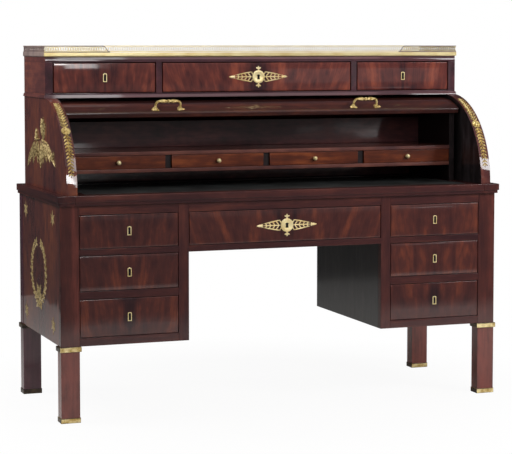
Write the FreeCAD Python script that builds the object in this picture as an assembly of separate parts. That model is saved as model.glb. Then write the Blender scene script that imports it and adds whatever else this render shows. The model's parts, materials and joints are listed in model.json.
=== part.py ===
import FreeCAD, Part
import math
import os

# Cylinder desk in the Empire manner, in millimetres.
# +X runs to the right, +Y to the back and +Z up.
# The origin lies on the floor, in the middle of the desk's width and depth.

# Base: posts, pedestals and kneehole
desk_width = 1620.0             # over the outer faces of the corner posts
post_width = 65.0
post_depth = 46.0
leg_height = 258.5              # floor to the underside of the pedestals
pedestal_width = 451.0
stile_width = 37.0              # inner stile beside the kneehole
rail_depth = 22.0
bottom_rail = 28.0
bottom_opening = 130.0
lower_rail = 26.0
middle_opening = 121.5
upper_rail = 21.5
top_opening = 116.0
top_rail = 31.5
panel_thickness = 20.0
panel_recess = 1.0
back_thickness = 12.0
bottom_thickness = 18.0
soffit_thickness = 10.0
runner_width = 20.0
guide_height = 20.0

# Brass on the legs
sabot_height = 17.0
sabot_wall = 2.0
sabot_floor = 3.0
sabot_chamfer = 1.6
collar_height = 17.0
collar_wall = 5.5
collar_chamfer = 1.6

# Bed and writing slide
bed_thickness = 34.0
bed_side_overhang = 10.5
bed_front_overhang = 15.0
bed_fillet_height = 11.0        # set-back lower member of the bed's edge
bed_fillet_setback = 4.0
bed_edge_round = 2.0
bed_board_thickness = 16.0
lip_inset = 49.0                # outer face of the post to the end of the slide's lip
lip_depth = 25.0
bed_back_rail = 73.0
slide_clearance = 0.4
leather_inset = 100.0           # outer face of the post to the leather's side edge
leather_front_margin = 47.0     # front of the slide to the leather
leather_back_margin = 45.0
leather_thickness = 2.0

# Cheeks and the axis of the fall
cheek_inset = 21.5
cheek_thickness = 37.5
cheek_radius = 317.0            # drives the depth of the desk
cheek_overhang = 7.0            # cheek in front of the posts
cheek_back_cut = 25.0           # back of the desk inside the cheek's full circle
axis_rise = 2.5                 # axis above the top of the bed
crown_cut = 2.0                 # flat on the crown of the cheek, under the frieze

# Fall: coopered staves with a lip rail, carried by two iron arms on pins
fall_inset = 14.0               # outer face of the fall inside the cheek's edge
shell_thickness = 18.0
lip_angle = 61.0                # lip above the front horizontal when open, degrees
lip_span = 4.5                  # degrees
shell_span = 92.0               # degrees
stave_count = 8
lip_round = 4.0
arm_gap = 7.0                   # between the cheek and the interior's end panel
arm_thickness = 5.0
arm_side_play = 0.75
arm_boss_radius = 15.0
arm_boss_clearance = 1.0
arm_root_width = 22.0
arm_rim_span = 30.0             # degrees
arm_rim_margin = 3.0            # rim stops short of the outer face of the staves
pin_radius = 6.0
pin_clearance = 0.1
pin_cheek_depth = 14.0
pin_panel_depth = 10.0

# Bail handles on the fall
handle_offset = 375.0           # middle of the desk to the middle of the handle
handle_foot_spacing = 98.0
handle_angle = 66.0             # degrees along the fall
handle_reach = 30.0
handle_bend_radius = 17.0
handle_bend_steps = 4
handle_sides = 8
handle_rod_radius = 4.2
handle_foot_radius = 11.0
handle_foot_height = 4.5
handle_ring_radius = 6.6
handle_ring_width = 6.0
handle_ring_ease = 1.5
handle_swell_radius = 5.8
handle_swell_length = 24.0

# Frieze case
frieze_lead = 24.0              # frieze in front of the axis of the fall
frieze_inset = 22.0
frieze_floor = 16.0
frieze_opening = 108.0
frieze_top = 19.0
frieze_end = 28.0
frieze_divider = 22.0
frieze_outer_opening = 374.0
cabinet_back_recess = 2.0
bead_height = 11.0
bead_projection = 5.0

# Brass moulding and pierced gallery
moulding_height = 15.0
moulding_depth = 8.0
moulding_projection = 4.0
moulding_ovolo = 6.0
top_panel_drop = 2.0
gallery_height = 24.0
gallery_thickness = 2.5
gallery_edge_inset = 1.0        # outer face of the gallery behind the moulding's edge
gallery_return = 236.0          # front return, at its foot
gallery_slope = 18.0            # return's top is shorter by this
gallery_pitch = 36.0
gallery_hole_width = 24.0
gallery_hole_height = 14.0
gallery_end_margin = 8.0

# Interior case with four small drawers
case_lead = 110.0               # case in front of the axis of the fall
case_panel = 20.0
case_fall_gap = 7.0             # radial room between the case and the fall
case_floor_rise = 57.5          # open space between the bed and the case
case_board = 13.0
case_opening = 47.0
case_divider = 22.0
case_divider_recess = 8.0
case_back = 10.0
case_back_lift = 1.5
case_upstand_share = 0.3        # board behind the shelf, as a share of the cheek's radius

# Drawers
drawer_clearance = 1.0
drawer_seat = 0.3               # drawer above its runner
front_thickness = 20.0
front_arris = 2.0
side_thickness = 11.0
side_drop = 9.0                 # sides stop below the top of the front
bottom_rise = 8.0
board_thickness = 6.0
pedestal_drawer_room = 86.0     # behind the drawer
frieze_drawer_room = 22.0
small_drawer_room = 27.0
small_count = 4
small_front_thickness = 12.0
small_side_thickness = 7.0
small_board_thickness = 4.0
small_side_drop = 4.0
small_bottom_rise = 4.0
small_arris = 1.2

# Locks, escutcheons and knobs
escutcheon_width = 14.0
escutcheon_height = 30.0
escutcheon_proud = 1.0
keyhole_radius = 2.8
keyhole_slot_width = 3.2
keyhole_slot_drop = 9.0
keyhole_flats = 8
keyhole_rise = 4.0              # round of the keyhole above the middle of the front
lock_width = 62.0
lock_height = 40.0
lock_depth = 11.0
knob_radius = 6.2
knob_rings = 5
knob_sides = 12
knob_neck_radius = 2.6
knob_neck_length = 4.0
knob_flange_radius = 5.0
knob_flange_height = 1.5

# Pierced mount on the middle drawers
leaf_shoulder_share = 0.36      # root to the full width, as a share of a leaf's length
mount_thickness = 3.0
mount_half_length = 114.0
mount_half_height = 40.0
mount_ring_radius = 20.5
mount_ring_bore = 12.5
mount_wing_start = 16.0         # middle of the mount to the wing's root, under the ring
mount_wing_end = 92.0
mount_wing_broad = 41.0         # height of the wing beside the ring
mount_wing_narrow = 16.0
mount_tip_width = 12.0
mount_tip_lap = 4.0             # tip's root inside the wing
mount_neck_width = 5.0
mount_neck_rise = 26.0          # middle of the mount to the top of the neck
mount_finial_width = 19.0
mount_finial_rise = 32.0
mount_slit_width = 4.6
mount_slit_lean = 5.5           # outer end of a slit beyond its inner end
mount_rim = 2.6
mount_rib = 3.0
mount_slits = 5                 # each side of the rib, on each wing

# Leaf chain on the edge of each cheek
chain_start_angle = 10.7        # degrees on the cheek's arc
chain_end_angle = 71.2
rosette_angle = 41.5
rosette_radius = 16.0
rosette_height = 6.0
rosette_boss_radius = 7.0
rosette_boss_height = 2.0
chain_thickness = 3.0
chain_width = 26.0
chain_tip_width = 9.0
chain_waist = 8.0
chain_leaf_lap = 1.0
chain_leaves = 8                # pairs on each side of the rosette

# Ornament on the side of each cheek
arabesque_back_offset = 40.0    # its middle behind the axis of the fall
arabesque_rise_share = 0.52     # its waist above the bed, as a share of the cheek's radius
arabesque_size_share = 0.3      # as a share of the cheek's radius
arabesque_thickness = 3.5
arabesque_leaf_width = 26.0
arabesque_leaves = (
    # angle, then shares: length of the size, width of the leaf width, root's place of the size
    (106, 0.91, 1.0, 0.37, 0.0),
    (85, 0.88, 1.0, 0.37, 0.0),
    (63, 0.78, 0.9, 0.37, 0.0),
    (95, 0.42, 0.6, -0.61, 0.0),
    (183, 1.17, 1.1, 0.0, -0.06),
    (7, 1.02, 1.1, 0.0, -0.06),
    (216, 1.82, 1.1, -0.63, 0.0),
    (228, 1.17, 1.0, -0.42, 0.0),
    (246, 0.99, 1.0, -0.21, 0.0),
    (270, 0.98, 1.0, 0.0, 0.0),
    (291, 0.9, 1.0, 0.21, 0.0),
    (302, 0.84, 1.0, 0.53, 0.0),
    (332, 1.72, 1.1, 0.63, 0.0),
    (62, 0.43, 0.5, 1.79, -0.68),
)

# Wreath and stars on each side of the base
wreath_offset = 11.0            # behind the middle of the depth
wreath_rise = 480.0             # floor to the wreath's middle
wreath_radius = 117.0
wreath_band = 17.0
wreath_tooth = 7.0
wreath_leaves = 20              # teeth round the wreath
wreath_gap = 16.0               # open angle at the top, degrees
wreath_thickness = 3.0
bow_loop_length = 58.0
bow_loop_width = 24.0
bow_tail_length = 70.0
bow_tail_width = 13.0
star_radius = 31.0
star_waist_share = 0.42         # inner corners as a share of the star's radius
star_points = 6
star_thickness = 2.5
star_front_setback = 108.0
star_back_margin = 98.0         # from the back of the desk
star_upper_rise = 682.0
star_lower_rise = 317.0

cut_overrun = 5.0

# Planes worked out from the sizes above
half_width = desk_width / 2
axis_setback = cheek_radius - cheek_overhang
desk_depth = axis_setback + cheek_radius - cheek_back_cut
brass_wall = max(sabot_wall, collar_wall)
front_y = (bed_front_overhang - desk_depth - brass_wall) / 2
back_y = front_y + desk_depth
bottom_opening_z = leg_height + bottom_rail
lower_rail_z = bottom_opening_z + bottom_opening
middle_opening_z = lower_rail_z + lower_rail
upper_rail_z = middle_opening_z + middle_opening
top_opening_z = upper_rail_z + upper_rail
top_rail_z = top_opening_z + top_opening
bed_z = top_rail_z + top_rail
bed_top = bed_z + bed_thickness
bed_board_z = bed_z - bed_board_thickness
post_inner_x = half_width - post_width
panel_inner_x = half_width - panel_recess - panel_thickness
kneehole_x = half_width - pedestal_width
opening_inner_x = kneehole_x + stile_width
inner_side_x = kneehole_x + panel_thickness
rail_back_y = front_y + rail_depth
base_back_y = back_y - back_thickness

axis_y = front_y + axis_setback
axis_z = bed_top + axis_rise
cheek_outer_x = half_width - cheek_inset
cheek_inner_x = cheek_outer_x - cheek_thickness
case_outer_x = cheek_inner_x - arm_gap
case_inner_x = case_outer_x - case_panel
arm_outer_x = cheek_inner_x - arm_side_play
shell_half = arm_outer_x - arm_thickness
shell_radius = cheek_radius - fall_inset
shell_inner_radius = shell_radius - shell_thickness
arabesque_size = cheek_radius * arabesque_size_share

frieze_y = axis_y - frieze_lead
frieze_x = half_width - frieze_inset
frieze_z = axis_z + cheek_radius - crown_cut
frieze_inner_x = frieze_x - frieze_end
divider_outer_x = frieze_inner_x - frieze_outer_opening
divider_inner_x = divider_outer_x - frieze_divider
frieze_opening_z = frieze_z + frieze_floor
frieze_top_z = frieze_opening_z + frieze_opening
cabinet_top_z = frieze_top_z + frieze_top
gallery_z = cabinet_top_z + moulding_height
cabinet_back_y = back_y - cabinet_back_recess - back_thickness

case_y = axis_y - case_lead
case_z = bed_top + case_floor_rise
case_opening_z = case_z + case_board
case_shelf_z = case_opening_z + case_opening
case_radius = shell_inner_radius - case_fall_gap
case_rise = case_shelf_z + case_board - axis_z
case_back_y = axis_y + math.sqrt(case_radius ** 2 - case_rise ** 2)
upstand_rise = case_rise + cheek_radius * case_upstand_share
upstand_back_y = axis_y + math.sqrt(case_radius ** 2 - upstand_rise ** 2)
small_opening = (2 * case_inner_x - (small_count - 1) * case_divider) / small_count
slide_front_y = front_y - bed_front_overhang
slide_back_y = back_y - bed_back_rail
pedestal_drawer_depth = base_back_y - pedestal_drawer_room - front_y
frieze_drawer_depth = cabinet_back_y - frieze_drawer_room - frieze_y
small_drawer_depth = case_back_y - case_back - small_drawer_room - case_y


def vec(x, y, z):
    return FreeCAD.Vector(x, y, z)


def block(x0, x1, y0, y1, z0, z1):
    return Part.makeBox(x1 - x0, y1 - y0, z1 - z0, vec(x0, y0, z0))


def mirrored(shape):
    return shape.mirror(vec(0, 0, 0), vec(1, 0, 0))


def pair(shape):
    return [shape, mirrored(shape)]


def four_corners(shape):
    # one corner piece, repeated about the middle of the post frame
    middle_y = (front_y + back_y) / 2
    behind = shape.mirror(vec(0, middle_y, 0), vec(0, 1, 0))
    return pair(shape) + pair(behind)


def prism_x(wire, x0, x1):
    # outline drawn in a plane of constant X, swept from x0 to x1
    face = Part.Face(wire)
    face.translate(vec(x0, 0, 0))
    return face.extrude(vec(x1 - x0, 0, 0))


def polygon(points):
    return Part.makePolygon(list(points) + [points[0]])


def wire_of(edges):
    return Part.Wire(Part.__sortEdges__(edges))


def on_arc(radius, angle):
    # point beside the axis of the fall: 0 degrees is the front, 90 degrees the top
    turn = math.radians(angle)
    return vec(0, axis_y - radius * math.cos(turn), axis_z + radius * math.sin(turn))


def arc_edge(radius, angle0, angle1):
    middle = (angle0 + angle1) / 2
    arc = Part.Arc(on_arc(radius, angle0), on_arc(radius, middle), on_arc(radius, angle1))
    return arc.toShape()


def line_edge(start, end):
    return Part.LineSegment(start, end).toShape()


def sector_wire(inner, outer, angle0, angle1):
    return wire_of([
        arc_edge(outer, angle0, angle1),
        line_edge(on_arc(outer, angle1), on_arc(inner, angle1)),
        arc_edge(inner, angle1, angle0),
        line_edge(on_arc(inner, angle0), on_arc(outer, angle0)),
    ])


def leaf(length, width, angle, u, v, thickness):
    # pointed leaf or slit in the flat of a mount, from its root at (u, v)
    turn = math.radians(angle)
    along = vec(math.cos(turn), math.sin(turn), 0)
    across = vec(-math.sin(turn), math.cos(turn), 0)
    root = vec(u, v, 0)
    shoulder = along * (length * leaf_shoulder_share)
    swell = across * (width / 2)
    tip = along * length
    neck = tip - shoulder
    return Part.Face(polygon([
        root, root + shoulder - swell, root + neck - swell, root + tip,
        root + neck + swell, root + shoulder + swell])).extrude(vec(0, 0, thickness))


def disc(radius, u, v, thickness):
    return Part.makeCylinder(radius, thickness, vec(u, v, 0))


def joined(shapes):
    return shapes[0].multiFuse(shapes[1:]).removeSplitter()


def placed(shape, origin, u_axis, v_axis):
    # flat mount drawn in (u, v) with its back at zero, set on a face
    normal = u_axis.cross(v_axis)
    matrix = FreeCAD.Matrix(
        u_axis.x, v_axis.x, normal.x, origin.x,
        u_axis.y, v_axis.y, normal.y, origin.y,
        u_axis.z, v_axis.z, normal.z, origin.z,
        0, 0, 0, 1)
    done = shape.copy()
    done.Placement = FreeCAD.Placement(matrix)
    return done


def solids_of(shapes):
    found = []
    for shape in shapes:
        found.extend(shape.Solids)
    return found


def save(name, shapes):
    solids = solids_of(shapes)
    Part.Compound(solids).exportStep("parts/" + name + ".step")
    print(name, len(solids), round(sum(solid.Volume for solid in solids)))


def corner_posts():
    return four_corners(block(-half_width, -post_inner_x, front_y, front_y + post_depth, sabot_floor, bed_z))


def leg_sleeve(wall, z0, z1):
    return block(
        -half_width - wall, -post_inner_x + wall,
        front_y - wall, front_y + post_depth + wall, z0, z1)


def leg_sabots():
    sleeve = leg_sleeve(sabot_wall, 0, sabot_height)
    foot = [edge for edge in sleeve.Edges if edge.BoundBox.ZMax < sabot_height / 2]
    sleeve = sleeve.makeChamfer(sabot_chamfer, foot)
    leg = block(
        -half_width, -post_inner_x, front_y, front_y + post_depth,
        sabot_floor, sabot_height + cut_overrun)
    return four_corners(sleeve.cut(leg))


def leg_collars():
    sleeve = leg_sleeve(collar_wall, leg_height - collar_height, leg_height)
    rims = [edge for edge in sleeve.Edges if edge.BoundBox.ZLength < collar_height / 2]
    sleeve = sleeve.makeChamfer(collar_chamfer, rims)
    leg = block(
        -half_width, -post_inner_x, front_y, front_y + post_depth,
        leg_height - collar_height - cut_overrun, leg_height + cut_overrun)
    return four_corners(sleeve.cut(leg))


def base_side_panels():
    return pair(block(
        -half_width + panel_recess, -panel_inner_x,
        front_y + post_depth, back_y - post_depth, leg_height, bed_z))


def pedestal_inner_sides():
    return pair(block(-inner_side_x, -kneehole_x, rail_back_y, back_y, leg_height, bed_board_z))


def base_back_panels():
    pedestal = block(-post_inner_x, -inner_side_x, base_back_y, back_y, leg_height, bed_board_z)
    middle = block(-kneehole_x, kneehole_x, base_back_y, back_y, upper_rail_z, bed_board_z)
    return pair(pedestal) + [middle]


def dust_boards():
    bottom = block(
        -panel_inner_x, -inner_side_x, rail_back_y, base_back_y,
        leg_height, leg_height + bottom_thickness)
    bottom = bottom.cut(Part.Compound(corner_posts()))
    soffit = block(
        -kneehole_x, kneehole_x, rail_back_y, base_back_y,
        upper_rail_z, upper_rail_z + soffit_thickness)
    return pair(bottom) + [soffit]


def front_rails():
    stile = block(-opening_inner_x, -kneehole_x, front_y, rail_back_y, leg_height, bed_z)
    solids = pair(stile)
    rails = [
        (leg_height, bottom_opening_z),
        (lower_rail_z, middle_opening_z),
        (upper_rail_z, top_opening_z),
        (top_rail_z, bed_z),
    ]
    for z0, z1 in rails:
        solids += pair(block(-post_inner_x, -opening_inner_x, front_y, rail_back_y, z0, z1))
    for z0, z1 in rails[2:]:
        solids.append(block(-kneehole_x, kneehole_x, front_y, rail_back_y, z0, z1))
    return solids


def drawer_runners():
    solids = []
    levels = [
        (leg_height + bottom_thickness, bottom_opening_z),
        (lower_rail_z, middle_opening_z),
        (upper_rail_z, top_opening_z),
    ]
    for z0, z1 in levels:
        outer = block(-post_inner_x, -post_inner_x + runner_width, rail_back_y, base_back_y, z0, z1)
        outer_guide = block(
            -panel_inner_x, -post_inner_x, front_y + post_depth, back_y - post_depth,
            z0, z1 + guide_height)
        inner = block(
            -opening_inner_x - runner_width, -inner_side_x, rail_back_y, base_back_y, z0, z1)
        inner_guide = block(
            -opening_inner_x, -inner_side_x, rail_back_y, base_back_y, z1, z1 + guide_height)
        for piece in (outer, outer_guide, inner, inner_guide):
            solids += pair(piece)
    middle = block(
        -kneehole_x, -kneehole_x + runner_width, rail_back_y, base_back_y,
        upper_rail_z + soffit_thickness, top_opening_z)
    return solids + pair(middle)


def two_step_edge(x0, x1, y0, y1, stepped_side):
    # slab with a set-back lower member at the front, and at its left end where asked
    upper = block(x0, x1, y0, y1, bed_z + bed_fillet_height, bed_top)
    crown = []
    for edge in upper.Edges:
        bounds = edge.BoundBox
        at_front = bounds.YMax < y0 + bed_edge_round
        at_side = stepped_side and bounds.XMax < x0 + bed_edge_round
        if bounds.ZMin > bed_top - bed_edge_round and (at_front or at_side):
            crown.append(edge)
    upper = upper.makeFillet(bed_edge_round, crown)
    lower_x0 = x0 + bed_fillet_setback if stepped_side else x0
    lower = block(lower_x0, x1, y0 + bed_fillet_setback, y1, bed_z, bed_z + bed_fillet_height)
    return upper.fuse(lower).removeSplitter()


def bed_end_rail():
    rail = two_step_edge(
        -half_width - bed_side_overhang, -case_inner_x, slide_front_y, back_y, True)
    rebate = block(
        -half_width + lip_inset, -case_inner_x + cut_overrun,
        slide_front_y - cut_overrun, slide_front_y + lip_depth + slide_clearance,
        bed_z - cut_overrun, bed_top + cut_overrun)
    pocket = Part.makeCylinder(
        arm_boss_radius + arm_boss_clearance, arm_gap,
        vec(-cheek_inner_x, axis_y, axis_z), vec(1, 0, 0))
    return rail.cut(rebate).cut(pocket).cut(pin_cylinder(pin_radius))


def bed():
    board = block(-panel_inner_x, panel_inner_x, rail_back_y, back_y, bed_board_z, bed_z)
    board = board.cut(Part.Compound(corner_posts()))
    back_rail = block(
        -case_inner_x, case_inner_x, slide_back_y + slide_clearance, back_y, bed_z, bed_top)
    return [board, back_rail] + pair(bed_end_rail())


def writing_slide():
    lip_x = half_width - lip_inset - slide_clearance
    lip = two_step_edge(-lip_x, lip_x, slide_front_y, slide_front_y + lip_depth, False)
    body_x = case_inner_x - slide_clearance
    body = block(
        -body_x, body_x, slide_front_y + lip_depth, slide_back_y, bed_z + slide_clearance, bed_top)
    trim = block(
        -lip_x - cut_overrun, lip_x + cut_overrun, slide_front_y - cut_overrun,
        slide_front_y + lip_depth + cut_overrun, bed_z - cut_overrun, bed_z + slide_clearance)
    return [lip.cut(trim).fuse(body).removeSplitter().cut(leather_block())]


def leather_block():
    leather_x = half_width - leather_inset
    return block(
        -leather_x, leather_x, slide_front_y + leather_front_margin,
        slide_back_y - leather_back_margin, bed_top - leather_thickness, bed_top)


def pin_cylinder(radius):
    return Part.makeCylinder(
        radius, pin_cheek_depth + arm_gap + pin_panel_depth,
        vec(-cheek_inner_x - pin_cheek_depth, axis_y, axis_z), vec(1, 0, 0))


def cheeks():
    foot_angle = -math.degrees(math.asin(axis_rise / cheek_radius))
    crown_angle = math.degrees(math.asin((frieze_z - axis_z) / cheek_radius))
    crown = vec(0, back_y, frieze_z)
    heel = vec(0, back_y, bed_top)
    outline = wire_of([
        arc_edge(cheek_radius, foot_angle, crown_angle),
        line_edge(on_arc(cheek_radius, crown_angle), crown),
        line_edge(crown, heel),
        line_edge(heel, on_arc(cheek_radius, foot_angle)),
    ])
    cheek = prism_x(outline, -cheek_outer_x, -cheek_inner_x)
    return pair(cheek.cut(pin_cylinder(pin_radius)))


def cabinet_back():
    lower = block(
        -cheek_inner_x, cheek_inner_x, cabinet_back_y, cabinet_back_y + back_thickness,
        bed_top, frieze_z)
    upper = block(
        -frieze_inner_x, frieze_inner_x, cabinet_back_y, cabinet_back_y + back_thickness,
        frieze_opening_z, frieze_top_z)
    return [lower, upper]


def mitre_wedge(projection, depth, z0, z1, for_side):
    # half of the square at the left front corner of the frieze, removed at a mitre
    left = -frieze_x - projection - cut_overrun
    right = -frieze_x + depth
    near = frieze_y - projection - cut_overrun
    far = frieze_y + depth
    third = vec(right, near, z0) if for_side else vec(left, far, z0)
    return Part.Face(polygon([vec(left, near, z0), vec(right, far, z0), third])).extrude(
        vec(0, 0, z1 - z0))


def mitred_border(profile, projection, depth, z0, z1):
    # front strip and two side strips of one section, mitred at the front corners
    front = Part.Face(profile)
    turn = FreeCAD.Rotation(vec(0, 0, 1), 90)
    front.Placement = FreeCAD.Placement(vec(-frieze_x - projection, frieze_y, 0), turn)
    front = front.extrude(vec(2 * (frieze_x + projection), 0, 0))
    wedge = mitre_wedge(projection, depth, z0, z1, False)
    front = front.cut(wedge).cut(mirrored(wedge))
    side = Part.Face(profile)
    side.translate(vec(-frieze_x, frieze_y - projection, 0))
    side = side.extrude(vec(0, back_y - frieze_y + projection, 0))
    return [front] + pair(side.cut(mitre_wedge(projection, depth, z0, z1, True)))


def bead_profile():
    # half round in the plane of X and Z, projecting towards -X
    foot = vec(0, 0, frieze_z)
    nose = vec(-bead_projection, 0, frieze_z + bead_height / 2)
    head = vec(0, 0, frieze_z + bead_height)
    return Part.Wire([Part.Arc(foot, nose, head).toShape(), line_edge(head, foot)])


def frieze_boards():
    floor = block(-frieze_x, frieze_x, frieze_y, back_y, frieze_z, frieze_opening_z)
    top = block(-frieze_x, frieze_x, frieze_y, back_y, frieze_top_z, cabinet_top_z)
    end = block(-frieze_x, -frieze_inner_x, frieze_y, back_y, frieze_opening_z, frieze_top_z)
    divider = block(
        -divider_outer_x, -divider_inner_x, frieze_y, cabinet_back_y,
        frieze_opening_z, frieze_top_z)
    beads = mitred_border(bead_profile(), bead_projection, 0, frieze_z, frieze_opening_z)
    return [floor, top] + pair(end) + pair(divider) + beads


def moulding_profile():
    # ovolo under a flat fascia, projecting towards -X
    z0 = cabinet_top_z
    z1 = gallery_z
    heel = vec(moulding_depth, 0, z0)
    foot = vec(0, 0, z0)
    swell = math.radians(45)
    middle = vec(
        -moulding_projection * math.sin(swell), 0,
        z0 + moulding_ovolo * (1 - math.cos(swell)))
    brow = vec(-moulding_projection, 0, z0 + moulding_ovolo)
    crown = vec(-moulding_projection, 0, z1)
    inner = vec(moulding_depth, 0, z1)
    return Part.Wire([
        line_edge(heel, foot),
        Part.Arc(foot, middle, brow).toShape(),
        line_edge(brow, crown),
        line_edge(crown, inner),
        line_edge(inner, heel),
    ])


def top_moulding():
    return mitred_border(
        moulding_profile(), moulding_projection, moulding_depth, cabinet_top_z, gallery_z)


def cabinet_top():
    panel_x = frieze_x - moulding_depth
    return [block(
        -panel_x, panel_x, frieze_y + moulding_depth, back_y, cabinet_top_z,
        gallery_z - top_panel_drop)]


def pierced_plate(length, slope):
    # upright strip in the plane of u and v, pierced by a row of lozenges
    outline = polygon([
        vec(0, 0, 0), vec(length, 0, 0),
        vec(length - slope, gallery_height, 0), vec(0, gallery_height, 0)])
    row = length - slope - 2 * gallery_end_margin
    count = int(row // gallery_pitch)
    first = gallery_end_margin + (row - (count - 1) * gallery_pitch) / 2
    half_w = gallery_hole_width / 2
    half_h = gallery_hole_height / 2
    middle = gallery_height / 2
    holes = []
    for index in range(count):
        u = first + index * gallery_pitch
        holes.append(Part.Face(polygon([
            vec(u - half_w, middle, 0), vec(u, middle - half_h, 0),
            vec(u + half_w, middle, 0), vec(u, middle + half_h, 0)])))
    face = Part.Face(outline).cut(Part.Compound(holes))
    return face.extrude(vec(0, 0, gallery_thickness))


def gallery():
    outer_x = frieze_x + moulding_projection - gallery_edge_inset
    outer_y = frieze_y - moulding_projection + gallery_edge_inset
    up = vec(0, 0, 1)
    front = placed(
        pierced_plate(gallery_return, gallery_slope),
        vec(-outer_x, outer_y + gallery_thickness, gallery_z), vec(1, 0, 0), up)
    side_run = back_y - outer_y - 2 * gallery_thickness
    side = placed(
        pierced_plate(side_run, 0),
        vec(-outer_x, outer_y + gallery_thickness, gallery_z), vec(0, 1, 0), up)
    back = placed(
        pierced_plate(2 * outer_x, 0),
        vec(-outer_x, back_y, gallery_z), vec(1, 0, 0), up)
    return pair(front) + pair(side) + [back]


def interior_case():
    front_angle = math.degrees(math.acos((axis_y - case_y) / case_radius))
    back_angle = math.degrees(math.acos((axis_y - case_back_y) / case_radius))
    foot_front = vec(0, case_y, bed_top)
    foot_back = vec(0, case_back_y, bed_top)
    outline = wire_of([
        line_edge(foot_front, on_arc(case_radius, front_angle)),
        arc_edge(case_radius, front_angle, back_angle),
        line_edge(on_arc(case_radius, back_angle), foot_back),
        line_edge(foot_back, foot_front),
    ])
    end_panel = prism_x(outline, -case_outer_x, -case_inner_x).cut(pin_cylinder(pin_radius))
    shelf = block(
        -case_inner_x, case_inner_x, case_y, case_back_y, case_shelf_z, case_shelf_z + case_board)
    board_back_y = case_back_y - case_back
    floor = block(-case_inner_x, case_inner_x, case_y, board_back_y, case_z, case_opening_z)
    back = block(
        -case_inner_x, case_inner_x, board_back_y, case_back_y,
        bed_top + case_back_lift, case_shelf_z)
    upstand = block(
        -case_inner_x, case_inner_x, upstand_back_y - case_back, upstand_back_y,
        case_shelf_z + case_board, axis_z + upstand_rise)
    solids = pair(end_panel) + [shelf, floor, back, upstand]
    for index in range(1, small_count):
        middle_x = -case_inner_x + index * (small_opening + case_divider) - case_divider / 2
        solids.append(block(
            middle_x - case_divider / 2, middle_x + case_divider / 2,
            case_y + case_divider_recess, board_back_y, case_opening_z, case_shelf_z))
    return solids


def pivot_pins():
    return pair(pin_cylinder(pin_radius))


def cylinder_shell():
    lip = prism_x(
        sector_wire(shell_inner_radius, shell_radius, lip_angle, lip_angle + lip_span),
        -shell_half, shell_half)
    nose = on_arc(shell_radius, lip_angle)
    arris = [
        edge for edge in lip.Edges
        if edge.BoundBox.XLength > shell_half
        and abs(edge.BoundBox.YMin - nose.y) + abs(edge.BoundBox.ZMin - nose.z) < lip_round / 2
    ]
    solids = [lip.makeFillet(lip_round, arris)]
    step = (shell_span - lip_span) / stave_count
    for index in range(stave_count):
        start = lip_angle + lip_span + index * step
        solids.append(prism_x(
            sector_wire(shell_inner_radius, shell_radius, start, start + step),
            -shell_half, shell_half))
    return solids


def cylinder_arms():
    middle = lip_angle + shell_span / 2
    rim_outer = shell_radius - arm_rim_margin
    rim = prism_x(
        sector_wire(
            shell_inner_radius - arm_rim_margin, rim_outer,
            middle - arm_rim_span / 2, middle + arm_rim_span / 2),
        -arm_outer_x, -shell_half)
    boss = Part.makeCylinder(
        arm_boss_radius, arm_thickness, vec(-arm_outer_x, axis_y, axis_z), vec(1, 0, 0))
    root_turn = math.degrees(math.asin(arm_root_width / 2 / arm_boss_radius))
    spread = arm_rim_span / 2
    blade = prism_x(
        polygon([
            on_arc(arm_boss_radius, middle - root_turn),
            on_arc(shell_inner_radius, middle - spread),
            on_arc(shell_inner_radius, middle + spread),
            on_arc(arm_boss_radius, middle + root_turn)]),
        -arm_outer_x, -shell_half)
    bore = Part.makeCylinder(
        pin_radius + pin_clearance, arm_gap + 2 * cut_overrun,
        vec(-arm_outer_x - cut_overrun, axis_y, axis_z), vec(1, 0, 0))
    return pair(joined([boss, blade, rim]).cut(bore))


def turned(stations, sides):
    # body in flats through regular polygons: middle (u, v), heading and radius of each
    rings = []
    for u, v, heading, radius in stations:
        run = math.radians(heading)
        across = vec(-math.sin(run), math.cos(run), 0)
        ring = []
        for index in range(sides):
            turn = 2 * math.pi * (index + 1 / 2) / sides
            side_step = across * (radius * math.cos(turn))
            ring.append(vec(u, v, 0) + side_step + vec(0, 0, radius * math.sin(turn)))
        rings.append(ring)
    faces = [Part.Face(polygon(rings[0])), Part.Face(polygon(rings[-1]))]
    for near, far in zip(rings, rings[1:]):
        for index in range(sides):
            before = index - 1
            faces.append(Part.Face(polygon([near[before], near[index], far[index]])))
            faces.append(Part.Face(polygon([near[before], far[index], far[before]])))
    body = Part.Solid(Part.Shell(faces))
    if body.Volume < 0:
        body.reverse()
    return body.removeSplitter()


def bail_handle():
    # drawn with u along the desk and v standing out from the fall
    half = handle_foot_spacing / 2
    grip_u = half - handle_bend_radius
    post_v = handle_reach - handle_bend_radius
    left = [
        (-half, 0, 90, handle_foot_radius),
        (-half, handle_foot_height, 90, handle_rod_radius),
        (-half, post_v, 90, handle_rod_radius),
    ]
    for index in range(1, handle_bend_steps + 1):
        bend = math.radians(90 * index / handle_bend_steps)
        left.append((
            -grip_u - handle_bend_radius * math.cos(bend), post_v + handle_bend_radius * math.sin(bend),
            90 - math.degrees(bend), handle_rod_radius))
    ring_u = handle_ring_width / 2
    left += [
        (-ring_u - handle_swell_length, handle_reach, 0, handle_rod_radius),
        (-ring_u - handle_ring_ease, handle_reach, 0, handle_swell_radius),
        (-ring_u, handle_reach, 0, handle_ring_radius),
    ]
    right = [(-u, v, -heading, radius) for u, v, heading, radius in reversed(left)]
    return turned(left + right, handle_sides)


def cylinder_handles():
    turn = math.radians(handle_angle)
    outward = vec(0, -math.cos(turn), math.sin(turn))
    foot = on_arc(shell_radius, handle_angle)
    foot.x = -handle_offset
    return pair(placed(bail_handle(), foot, vec(1, 0, 0), outward))


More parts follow.
